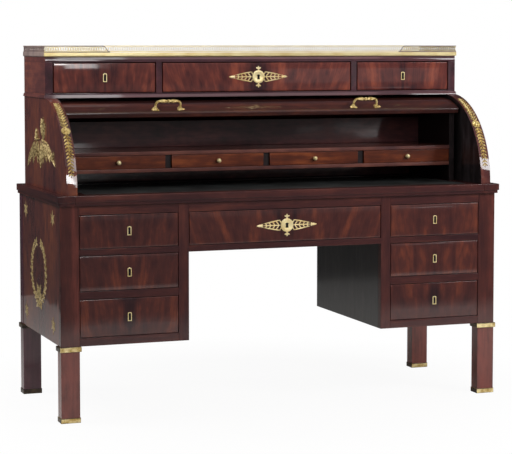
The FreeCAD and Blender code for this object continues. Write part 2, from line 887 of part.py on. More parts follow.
def keyhole(x, y0, y1, z):
    # round of the hole in flats, with the slot below it
    eye_z = z + keyhole_rise
    half = keyhole_slot_width / 2
    lean = math.asin(half / keyhole_radius)
    points = [vec(x + half, y0, eye_z - keyhole_slot_drop)]
    for index in range(keyhole_flats + 1):
        turn = lean + (2 * math.pi - 2 * lean) * index / keyhole_flats
        points.append(vec(
            x + keyhole_radius * math.sin(turn), y0, eye_z - keyhole_radius * math.cos(turn)))
    points.append(vec(x - half, y0, eye_z - keyhole_slot_drop))
    return Part.Face(polygon(points)).extrude(vec(0, y1 - y0, 0))


def front_board(x0, x1, y, z0, z1, thickness, arris):
    board = block(x0, x1, y, y + thickness, z0, z1)
    face_edges = [edge for edge in board.Edges if edge.BoundBox.YMax < y + thickness / 2]
    return board.makeChamfer(arris, face_edges)


def drawer_boards(x0, x1, y0, y1, z0, z1, side, board, rise):
    # sides, back and bottom behind the front
    left = block(x0, x0 + side, y0, y1, z0, z1)
    right = block(x1 - side, x1, y0, y1, z0, z1)
    back = block(x0 + side, x1 - side, y1 - side, y1, z0, z1)
    bottom = block(x0 + side, x1 - side, y0, y1 - side, z0 + rise, z0 + rise + board)
    return [left, right, back, bottom]


def lock_case(x, y, z_top):
    return block(
        x - lock_width / 2, x + lock_width / 2, y, y + lock_depth, z_top - lock_height, z_top)


def escutcheon(x, y, z):
    half = escutcheon_width / 2
    z0 = z - escutcheon_height / 2
    shoulder = z + escutcheon_height / 2 - half
    crown = z + escutcheon_height / 2
    outline = Part.Wire([
        line_edge(vec(x - half, y, z0), vec(x + half, y, z0)),
        line_edge(vec(x + half, y, z0), vec(x + half, y, shoulder)),
        Part.Arc(vec(x + half, y, shoulder), vec(x, y, crown), vec(x - half, y, shoulder)).toShape(),
        line_edge(vec(x - half, y, shoulder), vec(x - half, y, z0)),
    ])
    plate = Part.Face(outline).extrude(vec(0, -escutcheon_proud, 0))
    return plate.cut(keyhole(x, y - escutcheon_proud, y, z))


def mount_wing(sign):
    # tapering wing with a pointed tip, pierced by slits that slant away from its rib
    run = mount_wing_end - mount_wing_start
    slope = (mount_wing_narrow - mount_wing_broad) / 2 / run
    plate = Part.Face(polygon([
        vec(sign * mount_wing_start, -mount_wing_broad / 2, 0),
        vec(sign * mount_wing_end, -mount_wing_narrow / 2, 0),
        vec(sign * mount_wing_end, mount_wing_narrow / 2, 0),
        vec(sign * mount_wing_start, mount_wing_broad / 2, 0)])).extrude(vec(0, 0, mount_thickness))
    tip_root = mount_wing_end - mount_tip_lap
    tip = leaf(
        mount_half_length - tip_root, mount_tip_width, 90 - 90 * sign, sign * tip_root, 0, mount_thickness)
    first = mount_ring_radius + mount_rim
    pitch = (mount_wing_end - mount_rim - mount_slit_lean - first) / mount_slits
    slits = []
    for index in range(mount_slits):
        near = first + pitch * index
        far = near + mount_slit_lean
        reach = mount_wing_broad / 2 + slope * (far + mount_slit_width - mount_wing_start) - mount_rim
        for lean in (-1, 1):
            slits.append(Part.Face(polygon([
                vec(sign * near, lean * mount_rib / 2, 0),
                vec(sign * (near + mount_slit_width), lean * mount_rib / 2, 0),
                vec(sign * (far + mount_slit_width), lean * reach, 0),
                vec(sign * far, lean * reach, 0)])).extrude(vec(0, 0, mount_thickness)))
    return joined([plate, tip]).cut(Part.Compound(slits))


def mount_finial(sign):
    neck = mount_neck_width / 2
    flare = mount_finial_width / 2
    half = [(neck, 0), (neck, mount_neck_rise), (flare, mount_finial_rise)]
    outline = half + [(0, mount_half_height)] + [(-u, v) for u, v in half[::-1]]
    return Part.Face(polygon([vec(u, sign * v, 0) for u, v in outline])).extrude(vec(0, 0, mount_thickness))


def pierced_mount(x, y, z):
    # two wings and two finials about a ring, with a hub for the keyhole inside it
    pieces = [disc(mount_ring_radius, 0, 0, mount_thickness)]
    for sign in (-1, 1):
        pieces += [mount_wing(sign), mount_finial(sign)]
    plate = joined(pieces).cut(disc(mount_ring_bore, 0, 0, mount_thickness))
    hub = disc(mount_ring_bore, 0, 0, escutcheon_proud)
    set_up = [placed(item, vec(x, y, z), vec(1, 0, 0), vec(0, 0, 1)) for item in (plate, hub)]
    hub_on_face = set_up[1].cut(keyhole(x, y - mount_thickness, y, z))
    return [set_up[0], hub_on_face]


def save_drawer(name, x0, x1, y, z0, z1, depth, with_mount):
    left = x0 + drawer_clearance
    right = x1 - drawer_clearance
    low = z0 + drawer_seat
    high = z1 - drawer_clearance
    middle_x = (x0 + x1) / 2
    middle_z = (z0 + z1) / 2
    back_of_front = y + front_thickness
    front = front_board(left, right, y, low, high, front_thickness, front_arris)
    save(name + "_front", [front.cut(keyhole(middle_x, y - cut_overrun, back_of_front, middle_z))])
    side_top = high - side_drop
    save(name + "_box", drawer_boards(
        left, right, back_of_front, y + depth, low, side_top,
        side_thickness, board_thickness, bottom_rise))
    lock = [lock_case(middle_x, back_of_front, side_top)]
    if with_mount:
        lock += pierced_mount(middle_x, y, middle_z)
    else:
        lock.append(escutcheon(middle_x, y, middle_z))
    save(name + "_lock", lock)


def turned_knob(x, y, z):
    # flange, neck and ball, turned about the drawer's axis of pull
    ball_v = knob_flange_height + knob_neck_length + knob_radius
    stations = [
        (0, 0, 90, knob_flange_radius),
        (0, knob_flange_height, 90, knob_neck_radius),
    ]
    neck_turn = math.asin(knob_neck_radius / knob_radius)
    for index in range(knob_rings + 1):
        turn = neck_turn + (math.pi - 2 * neck_turn) * index / knob_rings
        stations.append((
            0, ball_v - knob_radius * math.cos(turn), 90, knob_radius * math.sin(turn)))
    knob = turned(stations, knob_sides)
    return placed(knob, vec(x, y, z), vec(1, 0, 0), vec(0, -1, 0))


def save_small_drawer(name, x0, x1):
    left = x0 + drawer_clearance
    right = x1 - drawer_clearance
    low = case_opening_z + drawer_seat
    high = case_shelf_z - drawer_clearance
    back_of_front = case_y + small_front_thickness
    front = front_board(left, right, case_y, low, high, small_front_thickness, small_arris)
    boards = drawer_boards(
        left, right, back_of_front, case_y + small_drawer_depth, low, high - small_side_drop,
        small_side_thickness, small_board_thickness, small_bottom_rise)
    save(name, [front] + boards)
    save(name + "_knob", [turned_knob((x0 + x1) / 2, case_y, (low + high) / 2)])


def chain_leaf(tip, length):
    # one pair of leaves of the chain, widening along +v from its waist to its tip
    half = length / 2
    return Part.Face(polygon([
        vec(-chain_waist / 2, -half - chain_leaf_lap, 0), vec(chain_waist / 2, -half - chain_leaf_lap, 0),
        vec(tip / 2, half, 0), vec(-tip / 2, half, 0)])).extrude(vec(0, 0, chain_thickness))


def on_cheek_edge(shape, angle, flip):
    # flat piece set tangent to the cheek's curved edge, in the middle of its thickness
    turn = math.radians(angle)
    outward = vec(0, -math.cos(turn), math.sin(turn))
    along = vec(0, math.sin(turn), math.cos(turn)) * flip
    foot = on_arc(cheek_radius, angle)
    foot.x = -(cheek_outer_x + cheek_inner_x) / 2
    return placed(shape, foot, along.cross(outward), along)


def leaf_chain():
    # pairs of leaves set round the cheek's edge, pointing both ways from a rosette
    pieces = [
        on_cheek_edge(disc(rosette_radius, 0, 0, rosette_height), rosette_angle, 1),
        on_cheek_edge(
            disc(rosette_boss_radius, 0, 0, rosette_height + rosette_boss_height), rosette_angle, 1)]
    for flip, end_angle in ((1, chain_end_angle), (-1, chain_start_angle)):
        step = (end_angle - rosette_angle) / chain_leaves
        length = cheek_radius * math.radians(abs(step))
        for index in range(chain_leaves):
            share = index / (chain_leaves - 1)
            tip = chain_width + (chain_tip_width - chain_width) * share ** 2
            angle = rosette_angle + step * (index + 1 / 2)
            pieces.append(on_cheek_edge(chain_leaf(tip, length), angle, flip))
    return joined(pieces)


def side_arabesque():
    pieces = []
    for angle, length_share, width_share, u_share, v_share in arabesque_leaves:
        pieces.append(leaf(
            arabesque_size * length_share, arabesque_leaf_width * width_share, angle,
            arabesque_size * u_share, arabesque_size * v_share, arabesque_thickness))
    origin = vec(
        -cheek_outer_x, axis_y + arabesque_back_offset,
        bed_top + cheek_radius * arabesque_rise_share)
    return placed(joined(pieces), origin, vec(0, -1, 0), vec(0, 0, 1))


def wreath():
    # open laurel ring with toothed edges, tied by a bow at its foot
    outer = []
    inner = []
    start = 90 + wreath_gap / 2
    sweep = 360 - wreath_gap
    for index in range(2 * wreath_leaves + 1):
        turn = math.radians(start + sweep * index / (2 * wreath_leaves))
        tooth = wreath_tooth * (index % 2)
        outer_radius = wreath_radius + wreath_tooth - tooth
        inner_radius = wreath_radius - wreath_band + tooth
        outer.append(vec(outer_radius * math.cos(turn), outer_radius * math.sin(turn), 0))
        inner.append(vec(inner_radius * math.cos(turn), inner_radius * math.sin(turn), 0))
    ring = Part.Face(polygon(outer + inner[::-1])).extrude(vec(0, 0, wreath_thickness))
    knot_v = -wreath_radius + wreath_band / 2
    pieces = [ring]
    for angle in (50, 130):
        pieces.append(leaf(bow_loop_length, bow_loop_width, angle, 0, knot_v, wreath_thickness))
    for angle in (22, 158):
        pieces.append(leaf(bow_tail_length, bow_tail_width, angle, 0, knot_v, wreath_thickness))
    middle_y = (front_y + back_y) / 2
    origin = vec(-half_width + panel_recess, middle_y + wreath_offset, wreath_rise)
    return placed(joined(pieces), origin, vec(0, -1, 0), vec(0, 0, 1))


def star(y, rise):
    points = []
    for index in range(2 * star_points):
        radius = star_radius * (star_waist_share if index % 2 else 1)
        turn = math.radians(90 + 180 * index / star_points)
        points.append(vec(radius * math.cos(turn), radius * math.sin(turn), 0))
    body = Part.Face(polygon(points)).extrude(vec(0, 0, star_thickness))
    origin = vec(-half_width + panel_recess, y, rise)
    return placed(body, origin, vec(0, -1, 0), vec(0, 0, 1))


def gilt_mounts():
    solids = pair(leaf_chain()) + pair(side_arabesque()) + pair(wreath())
    for y in (front_y + star_front_setback, back_y - star_back_margin):
        for rise in (star_lower_rise, star_upper_rise):
            solids += pair(star(y, rise))
    return solids


os.makedirs("parts", exist_ok=True)

save("corner_posts", corner_posts())
save("leg_brasses", leg_sabots() + leg_collars())
save("base_side_panels", base_side_panels())
save("pedestal_inner_sides", pedestal_inner_sides())
save("base_back_panels", base_back_panels())
save("dust_boards", dust_boards())
save("front_rails", front_rails())
save("drawer_runners", drawer_runners())
save("bed", bed())
save("cheeks", cheeks())
save("cabinet_back", cabinet_back())
save("frieze_boards", frieze_boards())
save("cabinet_top", cabinet_top())
save("top_gallery", top_moulding() + gallery())
save("interior_case", interior_case())
save("gilt_mounts", gilt_mounts())
save("pivot_pins", pivot_pins())
save("writing_slide", writing_slide())
save("writing_leather", [leather_block()])
save("cylinder_shell", cylinder_shell())
save("cylinder_arms", cylinder_arms())
save("cylinder_handles", cylinder_handles())

openings = [
    ("bottom", bottom_opening_z, lower_rail_z),
    ("middle", middle_opening_z, upper_rail_z),
    ("top", top_opening_z, top_rail_z),
]
for level, z0, z1 in openings:
    for hand, x0, x1 in (
            ("left", -post_inner_x, -opening_inner_x), ("right", opening_inner_x, post_inner_x)):
        save_drawer(
            hand + "_" + level + "_drawer", x0, x1, front_y, z0, z1, pedestal_drawer_depth, False)
save_drawer(
    "centre_drawer", -kneehole_x, kneehole_x, front_y, top_opening_z, top_rail_z,
    pedestal_drawer_depth, True)

for name, x0, x1 in (
        ("frieze_left_drawer", -frieze_inner_x, -divider_outer_x),
        ("frieze_centre_drawer", -divider_inner_x, divider_inner_x),
        ("frieze_right_drawer", divider_outer_x, frieze_inner_x)):
    save_drawer(
        name, x0, x1, frieze_y, frieze_opening_z, frieze_top_z, frieze_drawer_depth,
        name == "frieze_centre_drawer")

for index in range(small_count):
    left_x = -case_inner_x + index * (small_opening + case_divider)
    save_small_drawer("small_drawer_" + str(index + 1), left_x, left_x + small_opening)
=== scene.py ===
import bmesh
import bpy
import json
import math
import random
from mathutils import Matrix, Vector


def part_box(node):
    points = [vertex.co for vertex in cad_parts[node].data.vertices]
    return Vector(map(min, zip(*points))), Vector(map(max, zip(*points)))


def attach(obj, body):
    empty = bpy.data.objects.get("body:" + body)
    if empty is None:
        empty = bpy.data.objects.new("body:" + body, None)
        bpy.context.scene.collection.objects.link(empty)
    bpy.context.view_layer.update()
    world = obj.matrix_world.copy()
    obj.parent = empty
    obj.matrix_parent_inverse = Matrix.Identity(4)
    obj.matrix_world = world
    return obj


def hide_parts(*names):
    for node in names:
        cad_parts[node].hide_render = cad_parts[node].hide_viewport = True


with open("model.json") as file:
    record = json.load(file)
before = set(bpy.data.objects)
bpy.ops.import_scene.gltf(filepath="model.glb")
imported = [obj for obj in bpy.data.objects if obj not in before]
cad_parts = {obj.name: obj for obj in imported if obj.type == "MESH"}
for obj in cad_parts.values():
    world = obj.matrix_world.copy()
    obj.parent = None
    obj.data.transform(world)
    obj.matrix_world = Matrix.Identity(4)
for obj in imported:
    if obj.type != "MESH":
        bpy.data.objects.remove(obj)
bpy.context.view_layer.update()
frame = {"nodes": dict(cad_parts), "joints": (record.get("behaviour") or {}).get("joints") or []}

nodes = frame["nodes"]
scene = bpy.context.scene
scene.view_settings.view_transform = "Standard"
mm = 0.001
print("frame loaded:", len(nodes), "nodes")


def hexColour(code):  # sRGB hex to linear RGBA
    channels = [int(code[i:i + 2], 16) / 255 for i in (1, 3, 5)]
    return [c / 12.92 if c <= 0.04045 else ((c + 0.055) / 1.055) ** 2.4 for c in channels] + [1.0]


def addNode(tree, kind, inputs=None, **settings):  # a node with its settings, values and links
    node = tree.nodes.new(kind)
    for key, value in settings.items():
        setattr(node, key, value)
    for key, value in (inputs or {}).items():
        if isinstance(value, bpy.types.NodeSocket):
            tree.links.new(value, node.inputs[key])
        else:
            node.inputs[key].default_value = value
    return node


def newMaterial(name):  # an empty tree with its output
    material = bpy.data.materials.new(name)
    material.use_nodes = True
    material.node_tree.nodes.clear()
    return material, material.node_tree, addNode(material.node_tree, "ShaderNodeOutputMaterial")


def setRamp(node, stops):  # colours and places of a colour ramp
    ramp = node.color_ramp
    while len(ramp.elements) < len(stops):
        ramp.elements.new(0.5)
    for element, (place, colour) in zip(ramp.elements, stops):
        element.position = place
        element.color = hexColour(colour)


# French-polished mahogany: hard clear shellac over a red-brown veneer,
# so a deep colour under sharp reflections
# "grain" is a place on the board in metres, along, across and through it; "lot" tells boards apart
woodBase = {  # lengths in mm
    "bookMatch": False, "fan": 0.0, "stops": (0.12, 0.5, 0.9),
    "cloudLength": 260.0, "cloudWidth": 110.0, "cloudBend": 0.5, "cloudShare": 0.9,
    "ribbonLength": 240.0, "ribbonWidth": 14.0, "ribbonBend": 0.3, "ribbonShare": 0.4,
    "poreLength": 60.0, "poreWidth": 3.0, "poreShare": 0.3,  # pores are 0.3 mm wide, drawn coarser to show
    "mottleLength": 45.0, "mottleWidth": 22.0, "mottleShare": 0.6,
    "heart": 0.0, "heartWidth": 40.0, "heartRagged": 3.0, "raggedLength": 70.0, "raggedWidth": 60.0,
    "paleBelow": 0.0, "bounceOver": 20.0, "bounceShare": 0.28,
    "waveLength": 220.0, "waveWidth": 90.0, "waveDepth": 1.2, "waveShare": 0.35,
    "roughness": 0.45, "gloss": 0.2, "coat": 1.0, "polish": 0.05}


def mahogany(name, dark, mid, light, **changes):
    spec = {**woodBase, **changes}
    material, tree, output = newMaterial(name)
    place = addNode(tree, "ShaderNodeAttribute", attribute_name="grain").outputs["Vector"]
    lot = addNode(tree, "ShaderNodeAttribute", attribute_name="lot").outputs["Vector"]
    parts = addNode(tree, "ShaderNodeSeparateXYZ", {0: place})
    across = parts.outputs["Y"]
    if spec["bookMatch"]:
        across = addNode(tree, "ShaderNodeMath", {0: across}, operation="ABSOLUTE").outputs[0]
    spread = addNode(tree, "ShaderNodeMath", {  # the figure opens along the board
        0: parts.outputs["X"], 1: spec["fan"], 2: 1.0}, operation="MULTIPLY_ADD").outputs[0]
    across = addNode(tree, "ShaderNodeMath", {0: across, 1: spread}, operation="DIVIDE").outputs[0]
    leaf = addNode(tree, "ShaderNodeCombineXYZ", {
        "X": parts.outputs["X"], "Y": across, "Z": parts.outputs["Z"]})
    grain = addNode(tree, "ShaderNodeVectorMath", {0: leaf.outputs[0], 1: lot}, operation="ADD").outputs[0]

    def figure(kind, **inputs):  # noise drawn out along the grain
        length, width = spec[kind + "Length"] * mm, spec[kind + "Width"] * mm
        drawn = addNode(tree, "ShaderNodeVectorMath", {
            0: grain, 1: (1 / length, 1 / width, 1 / width)}, operation="MULTIPLY").outputs[0]
        noise = addNode(tree, "ShaderNodeTexNoise", {"Vector": drawn, "Scale": 1.0, **inputs}).outputs["Fac"]
        return addNode(tree, "ShaderNodeMath", {0: noise, 1: 0.5}, operation="SUBTRACT").outputs[0]

    figures = {
        "cloud": figure("cloud", Detail=2.0, Distortion=spec["cloudBend"]),
        "ribbon": figure("ribbon", Detail=3.0, Distortion=spec["ribbonBend"]),
        "pore": figure("pore", Detail=2.0),
        "mottle": figure("mottle", Detail=2.0)}
    tone = 0.5
    for kind, noise in figures.items():
        tone = addNode(tree, "ShaderNodeMath", {
            0: noise, 1: spec[kind + "Share"], 2: tone}, operation="MULTIPLY_ADD").outputs[0]
    if spec["heart"]:  # the dark flame down the middle of a matched veneer fades as a bell curve
        near = addNode(tree, "ShaderNodeMath", {
            0: across, 1: spec["heartWidth"] * mm}, operation="DIVIDE").outputs[0]
        fringe = figure("ragged", Detail=3.0)
        ragged = addNode(tree, "ShaderNodeMath", {
            0: fringe, 1: spec["heartRagged"], 2: near}, operation="MULTIPLY_ADD").outputs[0]
        square = addNode(tree, "ShaderNodeMath", {0: ragged, 1: ragged}, operation="MULTIPLY").outputs[0]
        power = addNode(tree, "ShaderNodeMath", {0: square, 1: -1.0}, operation="MULTIPLY").outputs[0]
        shade = addNode(tree, "ShaderNodeMath", {0: power}, operation="EXPONENT").outputs[0]
        tone = addNode(tree, "ShaderNodeMath", {
            0: shade, 1: -spec["heart"], 2: tone}, operation="MULTIPLY_ADD").outputs[0]
    if spec["paleBelow"]:  # painted light: legs paler under the collar, standing in for light bounced up from the floor
        bounceLight = addNode(tree, "ShaderNodeMapRange", {
            "Value": parts.outputs["X"], "From Min": spec["paleBelow"] * mm,
            "From Max": (spec["paleBelow"] - spec["bounceOver"]) * mm,
            "To Min": 0.0, "To Max": spec["bounceShare"]})
        tone = addNode(tree, "ShaderNodeMath", {0: tone, 1: bounceLight.outputs[0]}, operation="ADD").outputs[0]
    ramp = addNode(tree, "ShaderNodeValToRGB", {"Fac": tone})
    setRamp(ramp, list(zip(spec["stops"], (dark, mid, light))))
    wave = figure("wave", Detail=1.0)  # hand-planed panels aren't quite flat
    bump = addNode(tree, "ShaderNodeBump", {
        "Height": wave, "Strength": spec["waveShare"], "Distance": spec["waveDepth"] * mm})
    shader = addNode(tree, "ShaderNodeBsdfPrincipled", {
        "Base Color": ramp.outputs["Color"], "Normal": bump.outputs["Normal"], "Roughness": spec["roughness"],
        "Specular IOR Level": spec["gloss"], "Coat Weight": spec["coat"], "Coat Roughness": spec["polish"],
        "Coat Normal": bump.outputs["Normal"]})
    tree.links.new(shader.outputs["BSDF"], output.inputs["Surface"])
    return material


matched = {"bookMatch": True, "fan": 1.0, "cloudBend": 0.9}  # two leaves of veneer opened like a book
straight = {"mottleShare": 0.35, "cloudLength": 500.0, "cloudBend": 0.2}  # long stuff with little figure
widePanel = {"cloudLength": 420.0, "cloudWidth": 150.0}  # wide panels with slow changes of tone
frontWood = mahogany(  # flames that fan out from a dark heart
    "matched mahogany veneer", "#251216", "#46221e", "#703824", **matched, heart=0.22, cloudLength=200.0,
    cloudWidth=60.0, cloudShare=0.85, ribbonShare=0.3)
friezeWood = mahogany(  # the same, redder and livelier
    "flame mahogany veneer", "#2c1218", "#5c2a24", "#904832", **matched, heart=0.3, cloudLength=240.0,
    cloudWidth=58.0, cloudShare=0.95)
railWood = mahogany(  # dark and quiet between the drawers, with a thinner polish
    "straight-grained mahogany", "#211117", "#3e1f1e", "#603228", **straight, cloudWidth=60.0, coat=0.6)
stileWood = mahogany(  # a plum tone beside the red veneer
    "frieze rail mahogany", "#221419", "#3e2229", "#603538", **straight, cloudWidth=60.0)
postWood = mahogany(  # paler under the collars: painted light bounced up from the floor
    "post mahogany", "#251216", "#46221e", "#703830", **straight, cloudWidth=40.0, paleBelow=-108.0)
backPostShadeWood = mahogany(  # a cold plum: painted shade on the back left post
    "back post mahogany", "#2a121e", "#4a2632", "#683644", **straight, cloudWidth=40.0)
sideWood = mahogany("side panel mahogany", "#2e161c", "#4e2623", "#784028", **widePanel)  # warm brown
fallWood = mahogany(  # long streaks round the cylinder
    "cylinder veneer mahogany", "#1d0e11", "#351916", "#572a1c", cloudLength=600.0, cloudWidth=50.0,
    polish=0.06)
innerWood = mahogany(  # unfaded orange-red under a thin polish
    "small drawer mahogany", "#32140e", "#552513", "#80411e", cloudLength=300.0, cloudWidth=30.0,
    ribbonLength=160.0, ribbonWidth=9.0, coat=0.35, polish=0.15)
shadeWood = mahogany(  # nearly black, still polished: painted shade on the pedestals' inner sides and the cheeks' inner faces
    "painted-shade mahogany", "#0e0c0d", "#1c1819", "#383234", ribbonShare=0.8, polish=0.12)
gapWood = mahogany(  # nearly black and dull: painted shade between the small drawers
    "painted-shade divider mahogany", "#130e0f", "#1e1718", "#302425", coat=0.3, polish=0.15)
dimWood = mahogany(  # dark red that mirrors the room
    "dark inner mahogany", "#281216", "#4c2628", "#703c38", polish=0.07)
endWood = mahogany("frieze end mahogany", "#361c20", "#562e2c", "#7c4436", **widePanel)  # paler: painted light from the side on the frieze's outer ends
topWood = mahogany(  # rubbed dull by use
    "top board mahogany", "#251216", "#46221e", "#703824", cloudLength=700.0, cloudWidth=90.0, coat=0.25,
    polish=0.35)
caseWood = mahogany(  # brown edges with a soft polish
    "inner case mahogany", "#321c20", "#56322c", "#7a4a3c", coat=0.7, polish=0.1)


# Planed oak, waxed: pale and dull, with broad open grain
def oak(name, spec):
    material, tree, output = newMaterial(name)
    place = addNode(tree, "ShaderNodeTexCoord").outputs["Object"]
    width, length = spec["lineMm"] * mm, spec["lengthMm"] * mm
    stretch = addNode(tree, "ShaderNodeVectorMath", {
        0: place, 1: (1 / width, 1 / length, 1 / width)}, operation="MULTIPLY")
    grain = addNode(tree, "ShaderNodeTexNoise", {"Vector": stretch.outputs[0], "Scale": 1.0, "Detail": 4.0})
    ramp = addNode(tree, "ShaderNodeValToRGB", {"Fac": grain.outputs["Fac"]})
    setRamp(ramp, [(0.3, spec["dark"]), (0.7, spec["light"])])
    shader = addNode(tree, "ShaderNodeBsdfPrincipled", {
        "Base Color": ramp.outputs["Color"], "Roughness": spec["roughness"]})
    tree.links.new(shader.outputs["BSDF"], output.inputs["Surface"])
    return material


oakLining = oak("waxed oak", {
    "dark": "#6b4526", "light": "#a07848", "lineMm": 5.0, "lengthMm": 220.0, "roughness": 0.55})


# Cast or rolled metal: bright under a thin uneven tarnish, whose matt skin scatters a little light
# clean and tarnished colour, size of the tarnish in mm, roughness, share that is bare metal
def metal(name, clean, tarnish, tarnishMm, roughness, metallic):
    material, tree, output = newMaterial(name)
    place = addNode(tree, "ShaderNodeTexCoord").outputs["Object"]
    cloud = addNode(tree, "ShaderNodeTexNoise", {
        "Vector": place, "Scale": 1 / (tarnishMm * mm), "Detail": 4.0})
    ramp = addNode(tree, "ShaderNodeValToRGB", {"Fac": cloud.outputs["Fac"]})
    setRamp(ramp, [(0.35, tarnish), (0.62, clean)])
    shader = addNode(tree, "ShaderNodeBsdfPrincipled", {
        "Base Color": ramp.outputs["Color"], "Metallic": metallic, "Roughness": roughness})
    tree.links.new(shader.outputs["BSDF"], output.inputs["Surface"])
    return material


brass = metal("polished brass", "#f5e6b0", "#e6d092", 60.0, 0.34, 0.8)  # pale gold, nearly clean
shoeBrass = metal("tarnished brass", "#ffeeb4", "#b89a56", 22.0, 0.3, 0.58)  # bright, with brown spots
legShadeBrass = metal("leg brass in painted shade", "#5a4b38", "#2e2620", 26.0, 0.35, 0.4)  # brown-black: painted shade on the leg brasses' sides, undersides and back left
mountBrass = metal("lacquered brass", "#f8e8b2", "#e2c988", 30.0, 0.32, 0.45)  # pale, evenly bright
galleryShadeBrass = metal("gallery brass in painted shade", "#86756f", "#6c5d5c", 40.0, 0.45, 0.2)  # grey-brown: painted shade on the gallery's ends and on the rails of its front returns
giltBronze = metal("gilt bronze", "#ffeaa4", "#a5823e", 9.0, 0.31, 0.62)  # lemon gold, worn brown in spots
agedGilt = metal("aged gilt bronze", "#e8d096", "#6c512b", 7.0, 0.34, 0.5)  # the same, dirtier
iron = metal("forged iron", "#4a4541", "#231f1c", 9.0, 0.5, 1.0)  # dull dark grey


# Waxed calf leather: close-grained, nearly black, with a soft broad sheen
def leather(name, spec):
    material, tree, output = newMaterial(name)
    place = addNode(tree, "ShaderNodeTexCoord").outputs["Object"]
    pebble = addNode(tree, "ShaderNodeTexVoronoi", {"Vector": place, "Scale": 1 / (spec["pebbleMm"] * mm)})
    worn = addNode(tree, "ShaderNodeTexNoise", {
        "Vector": place, "Scale": 1 / (spec["wornMm"] * mm), "Detail": 3.0})
    ramp = addNode(tree, "ShaderNodeValToRGB", {"Fac": worn.outputs["Fac"]})
    setRamp(ramp, [(0.35, spec["dark"]), (0.75, spec["worn"])])
    bump = addNode(tree, "ShaderNodeBump", {
        "Height": pebble.outputs["Distance"], "Strength": spec["bump"], "Distance": spec["bumpMm"] * mm})
    shader = addNode(tree, "ShaderNodeBsdfPrincipled", {
        "Base Color": ramp.outputs["Color"], "Normal": bump.outputs["Normal"],
        "Roughness": spec["roughness"]})
    tree.links.new(shader.outputs["BSDF"], output.inputs["Surface"])
    return material


deskLeather = leather("waxed black leather", {
    "dark": "#1a1c1c", "worn": "#383b3b", "pebbleMm": 2.5, "wornMm": 120.0, "bump": 0.25, "bumpMm": 0.4,
    "roughness": 0.42})


# Painted shade: a matt near-black sheet for the dark inside of a keyhole
def shadeSheet(name, colour, roughness):
    material, tree, output = newMaterial(name)
    shader = addNode(tree, "ShaderNodeBsdfPrincipled", {
        "Base Color": hexColour(colour), "Roughness": roughness})
    tree.links.new(shader.outputs["BSDF"], output.inputs["Surface"])
    return material


keyholeShade = shadeSheet("keyhole shade", "#070504", 0.9)
print("materials made:", len(bpy.data.materials))


def plainMesh(holder):  # the mesh that an object's modifiers leave
    depsgraph = bpy.context.evaluated_depsgraph_get()
    return bpy.data.meshes.new_from_object(holder.evaluated_get(depsgraph))


# stands names the CAD nodes that the piece takes the place of
def finishPiece(name, mesh, finish, body, stands=(), smoothAngle=50.0):
    mesh.materials.clear()
    mesh.materials.append(finish)
    mesh.shade_smooth()
    mesh.set_sharp_from_angle(angle=math.radians(smoothAngle))
    piece = bpy.data.objects.new(name, mesh)
    scene.collection.objects.link(piece)
    weigh = piece.modifiers.new("flat faces stay flat", "WEIGHTED_NORMAL")
    weigh.keep_sharp = True
    piece.data = plainMesh(piece)
    piece.modifiers.clear()
    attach(piece, body)
    if stands:
        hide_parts(*stands)
    return piece


def secondFinish(piece, finish, hasIt):  # another finish on some faces
    piece.data.materials.append(finish)
    for face in piece.data.polygons:
        face.material_index = int(hasIt(face))


def dressNode(nodeName, finish):  # a CAD node kept as it is, with its own finish
    nodes[nodeName].data.materials.clear()
    nodes[nodeName].data.materials.append(finish)


def extent(points):  # lowest and highest corner round some points
    points = list(points)
    return [Vector(pick(p[i] for p in points) for i in range(3)) for pick in (min, max)]


def fromMm(sizes, scale=1.0):  # lengths in mm as metres
    return [scale * c * mm for c in sizes]


def splitSolids(nodeName):  # triangles of a CAD node, one list for each closed solid
    mesh = nodes[nodeName].data
    solids, faces, openEdges = [], [], set()
    for face in mesh.polygons:
        corners = [tuple(round(c, 6) for c in mesh.vertices[i].co) for i in face.vertices]
        faces.append(corners)
        for edge in zip(corners, corners[1:] + corners[:1]):
            if edge[::-1] in openEdges:
                openEdges.remove(edge[::-1])
            elif edge[0] != edge[1]:
                openEdges.add(edge)
        if not openEdges:  # the skin has closed
            solids.append(faces)
            faces = []
    return solids


edgeRule = {"sharp": 25.0, "shortest": 4.0, "flat": 0.6}  # degrees, easings, degrees


def weldSolid(faces):  # one solid as a bmesh with flat faces joined
    solid = bmesh.new()
    corners = {}
    for face in faces:
        for c in face:
            if c not in corners:
                corners[c] = solid.verts.new(c)
        spots = [corners[c] for c in face]
        if len(set(spots)) == 3:
            solid.faces.new(spots)
    bmesh.ops.dissolve_limit(
        solid, angle_limit=math.radians(edgeRule["flat"]), verts=solid.verts, edges=solid.edges)
    return solid


def easeEdges(solid, easing, segments=2, chosen=None):  # rounds the arrises of a board, by mm
    sharp = math.radians(edgeRule["sharp"])
    shortest = edgeRule["shortest"] * (easing * mm)
    edges = [
        e for e in solid.edges
        if e.is_manifold and e.calc_face_angle() > sharp and e.calc_length() > shortest
        and (chosen is None or chosen(e))]
    if edges:
        bmesh.ops.bevel(
            solid, geom=edges, offset=easing * mm, offset_type="OFFSET", segments=segments, profile=0.5,
            affect="EDGES", clamp_overlap=True)


def easedSolid(faces, easing, segments=2):  # one solid with its arrises rounded
    solid = weldSolid(faces)
    easeEdges(solid, easing, segments)
    return solid


def cutLevel(solid, level):  # a row of edges round a solid at one height
    geometry = [*solid.verts, *solid.edges, *solid.faces]
    bmesh.ops.bisect_plane(solid, geom=geometry, plane_co=(0, 0, level), plane_no=(0, 0, 1))


def skin(solid, rings):  # faces from ring to ring, and over both ends
    for near, far in zip(rings, rings[1:]):
        for i in range(len(near)):
            solid.faces.new((near[i - 1], near[i], far[i], far[i - 1]))
    solid.faces.new(rings[0])
    solid.faces.new(rings[-1][::-1])


def boxSolid(low, high):  # a plain box between two corners
    solid = bmesh.new()
    bmesh.ops.create_cube(solid, size=1.0)
    for v in solid.verts:
        v.co = Vector(low[i] if v.co[i] < 0 else high[i] for i in range(3))
    return solid


lotSpread = 40.0  # metres of grain pattern that boards are cut from


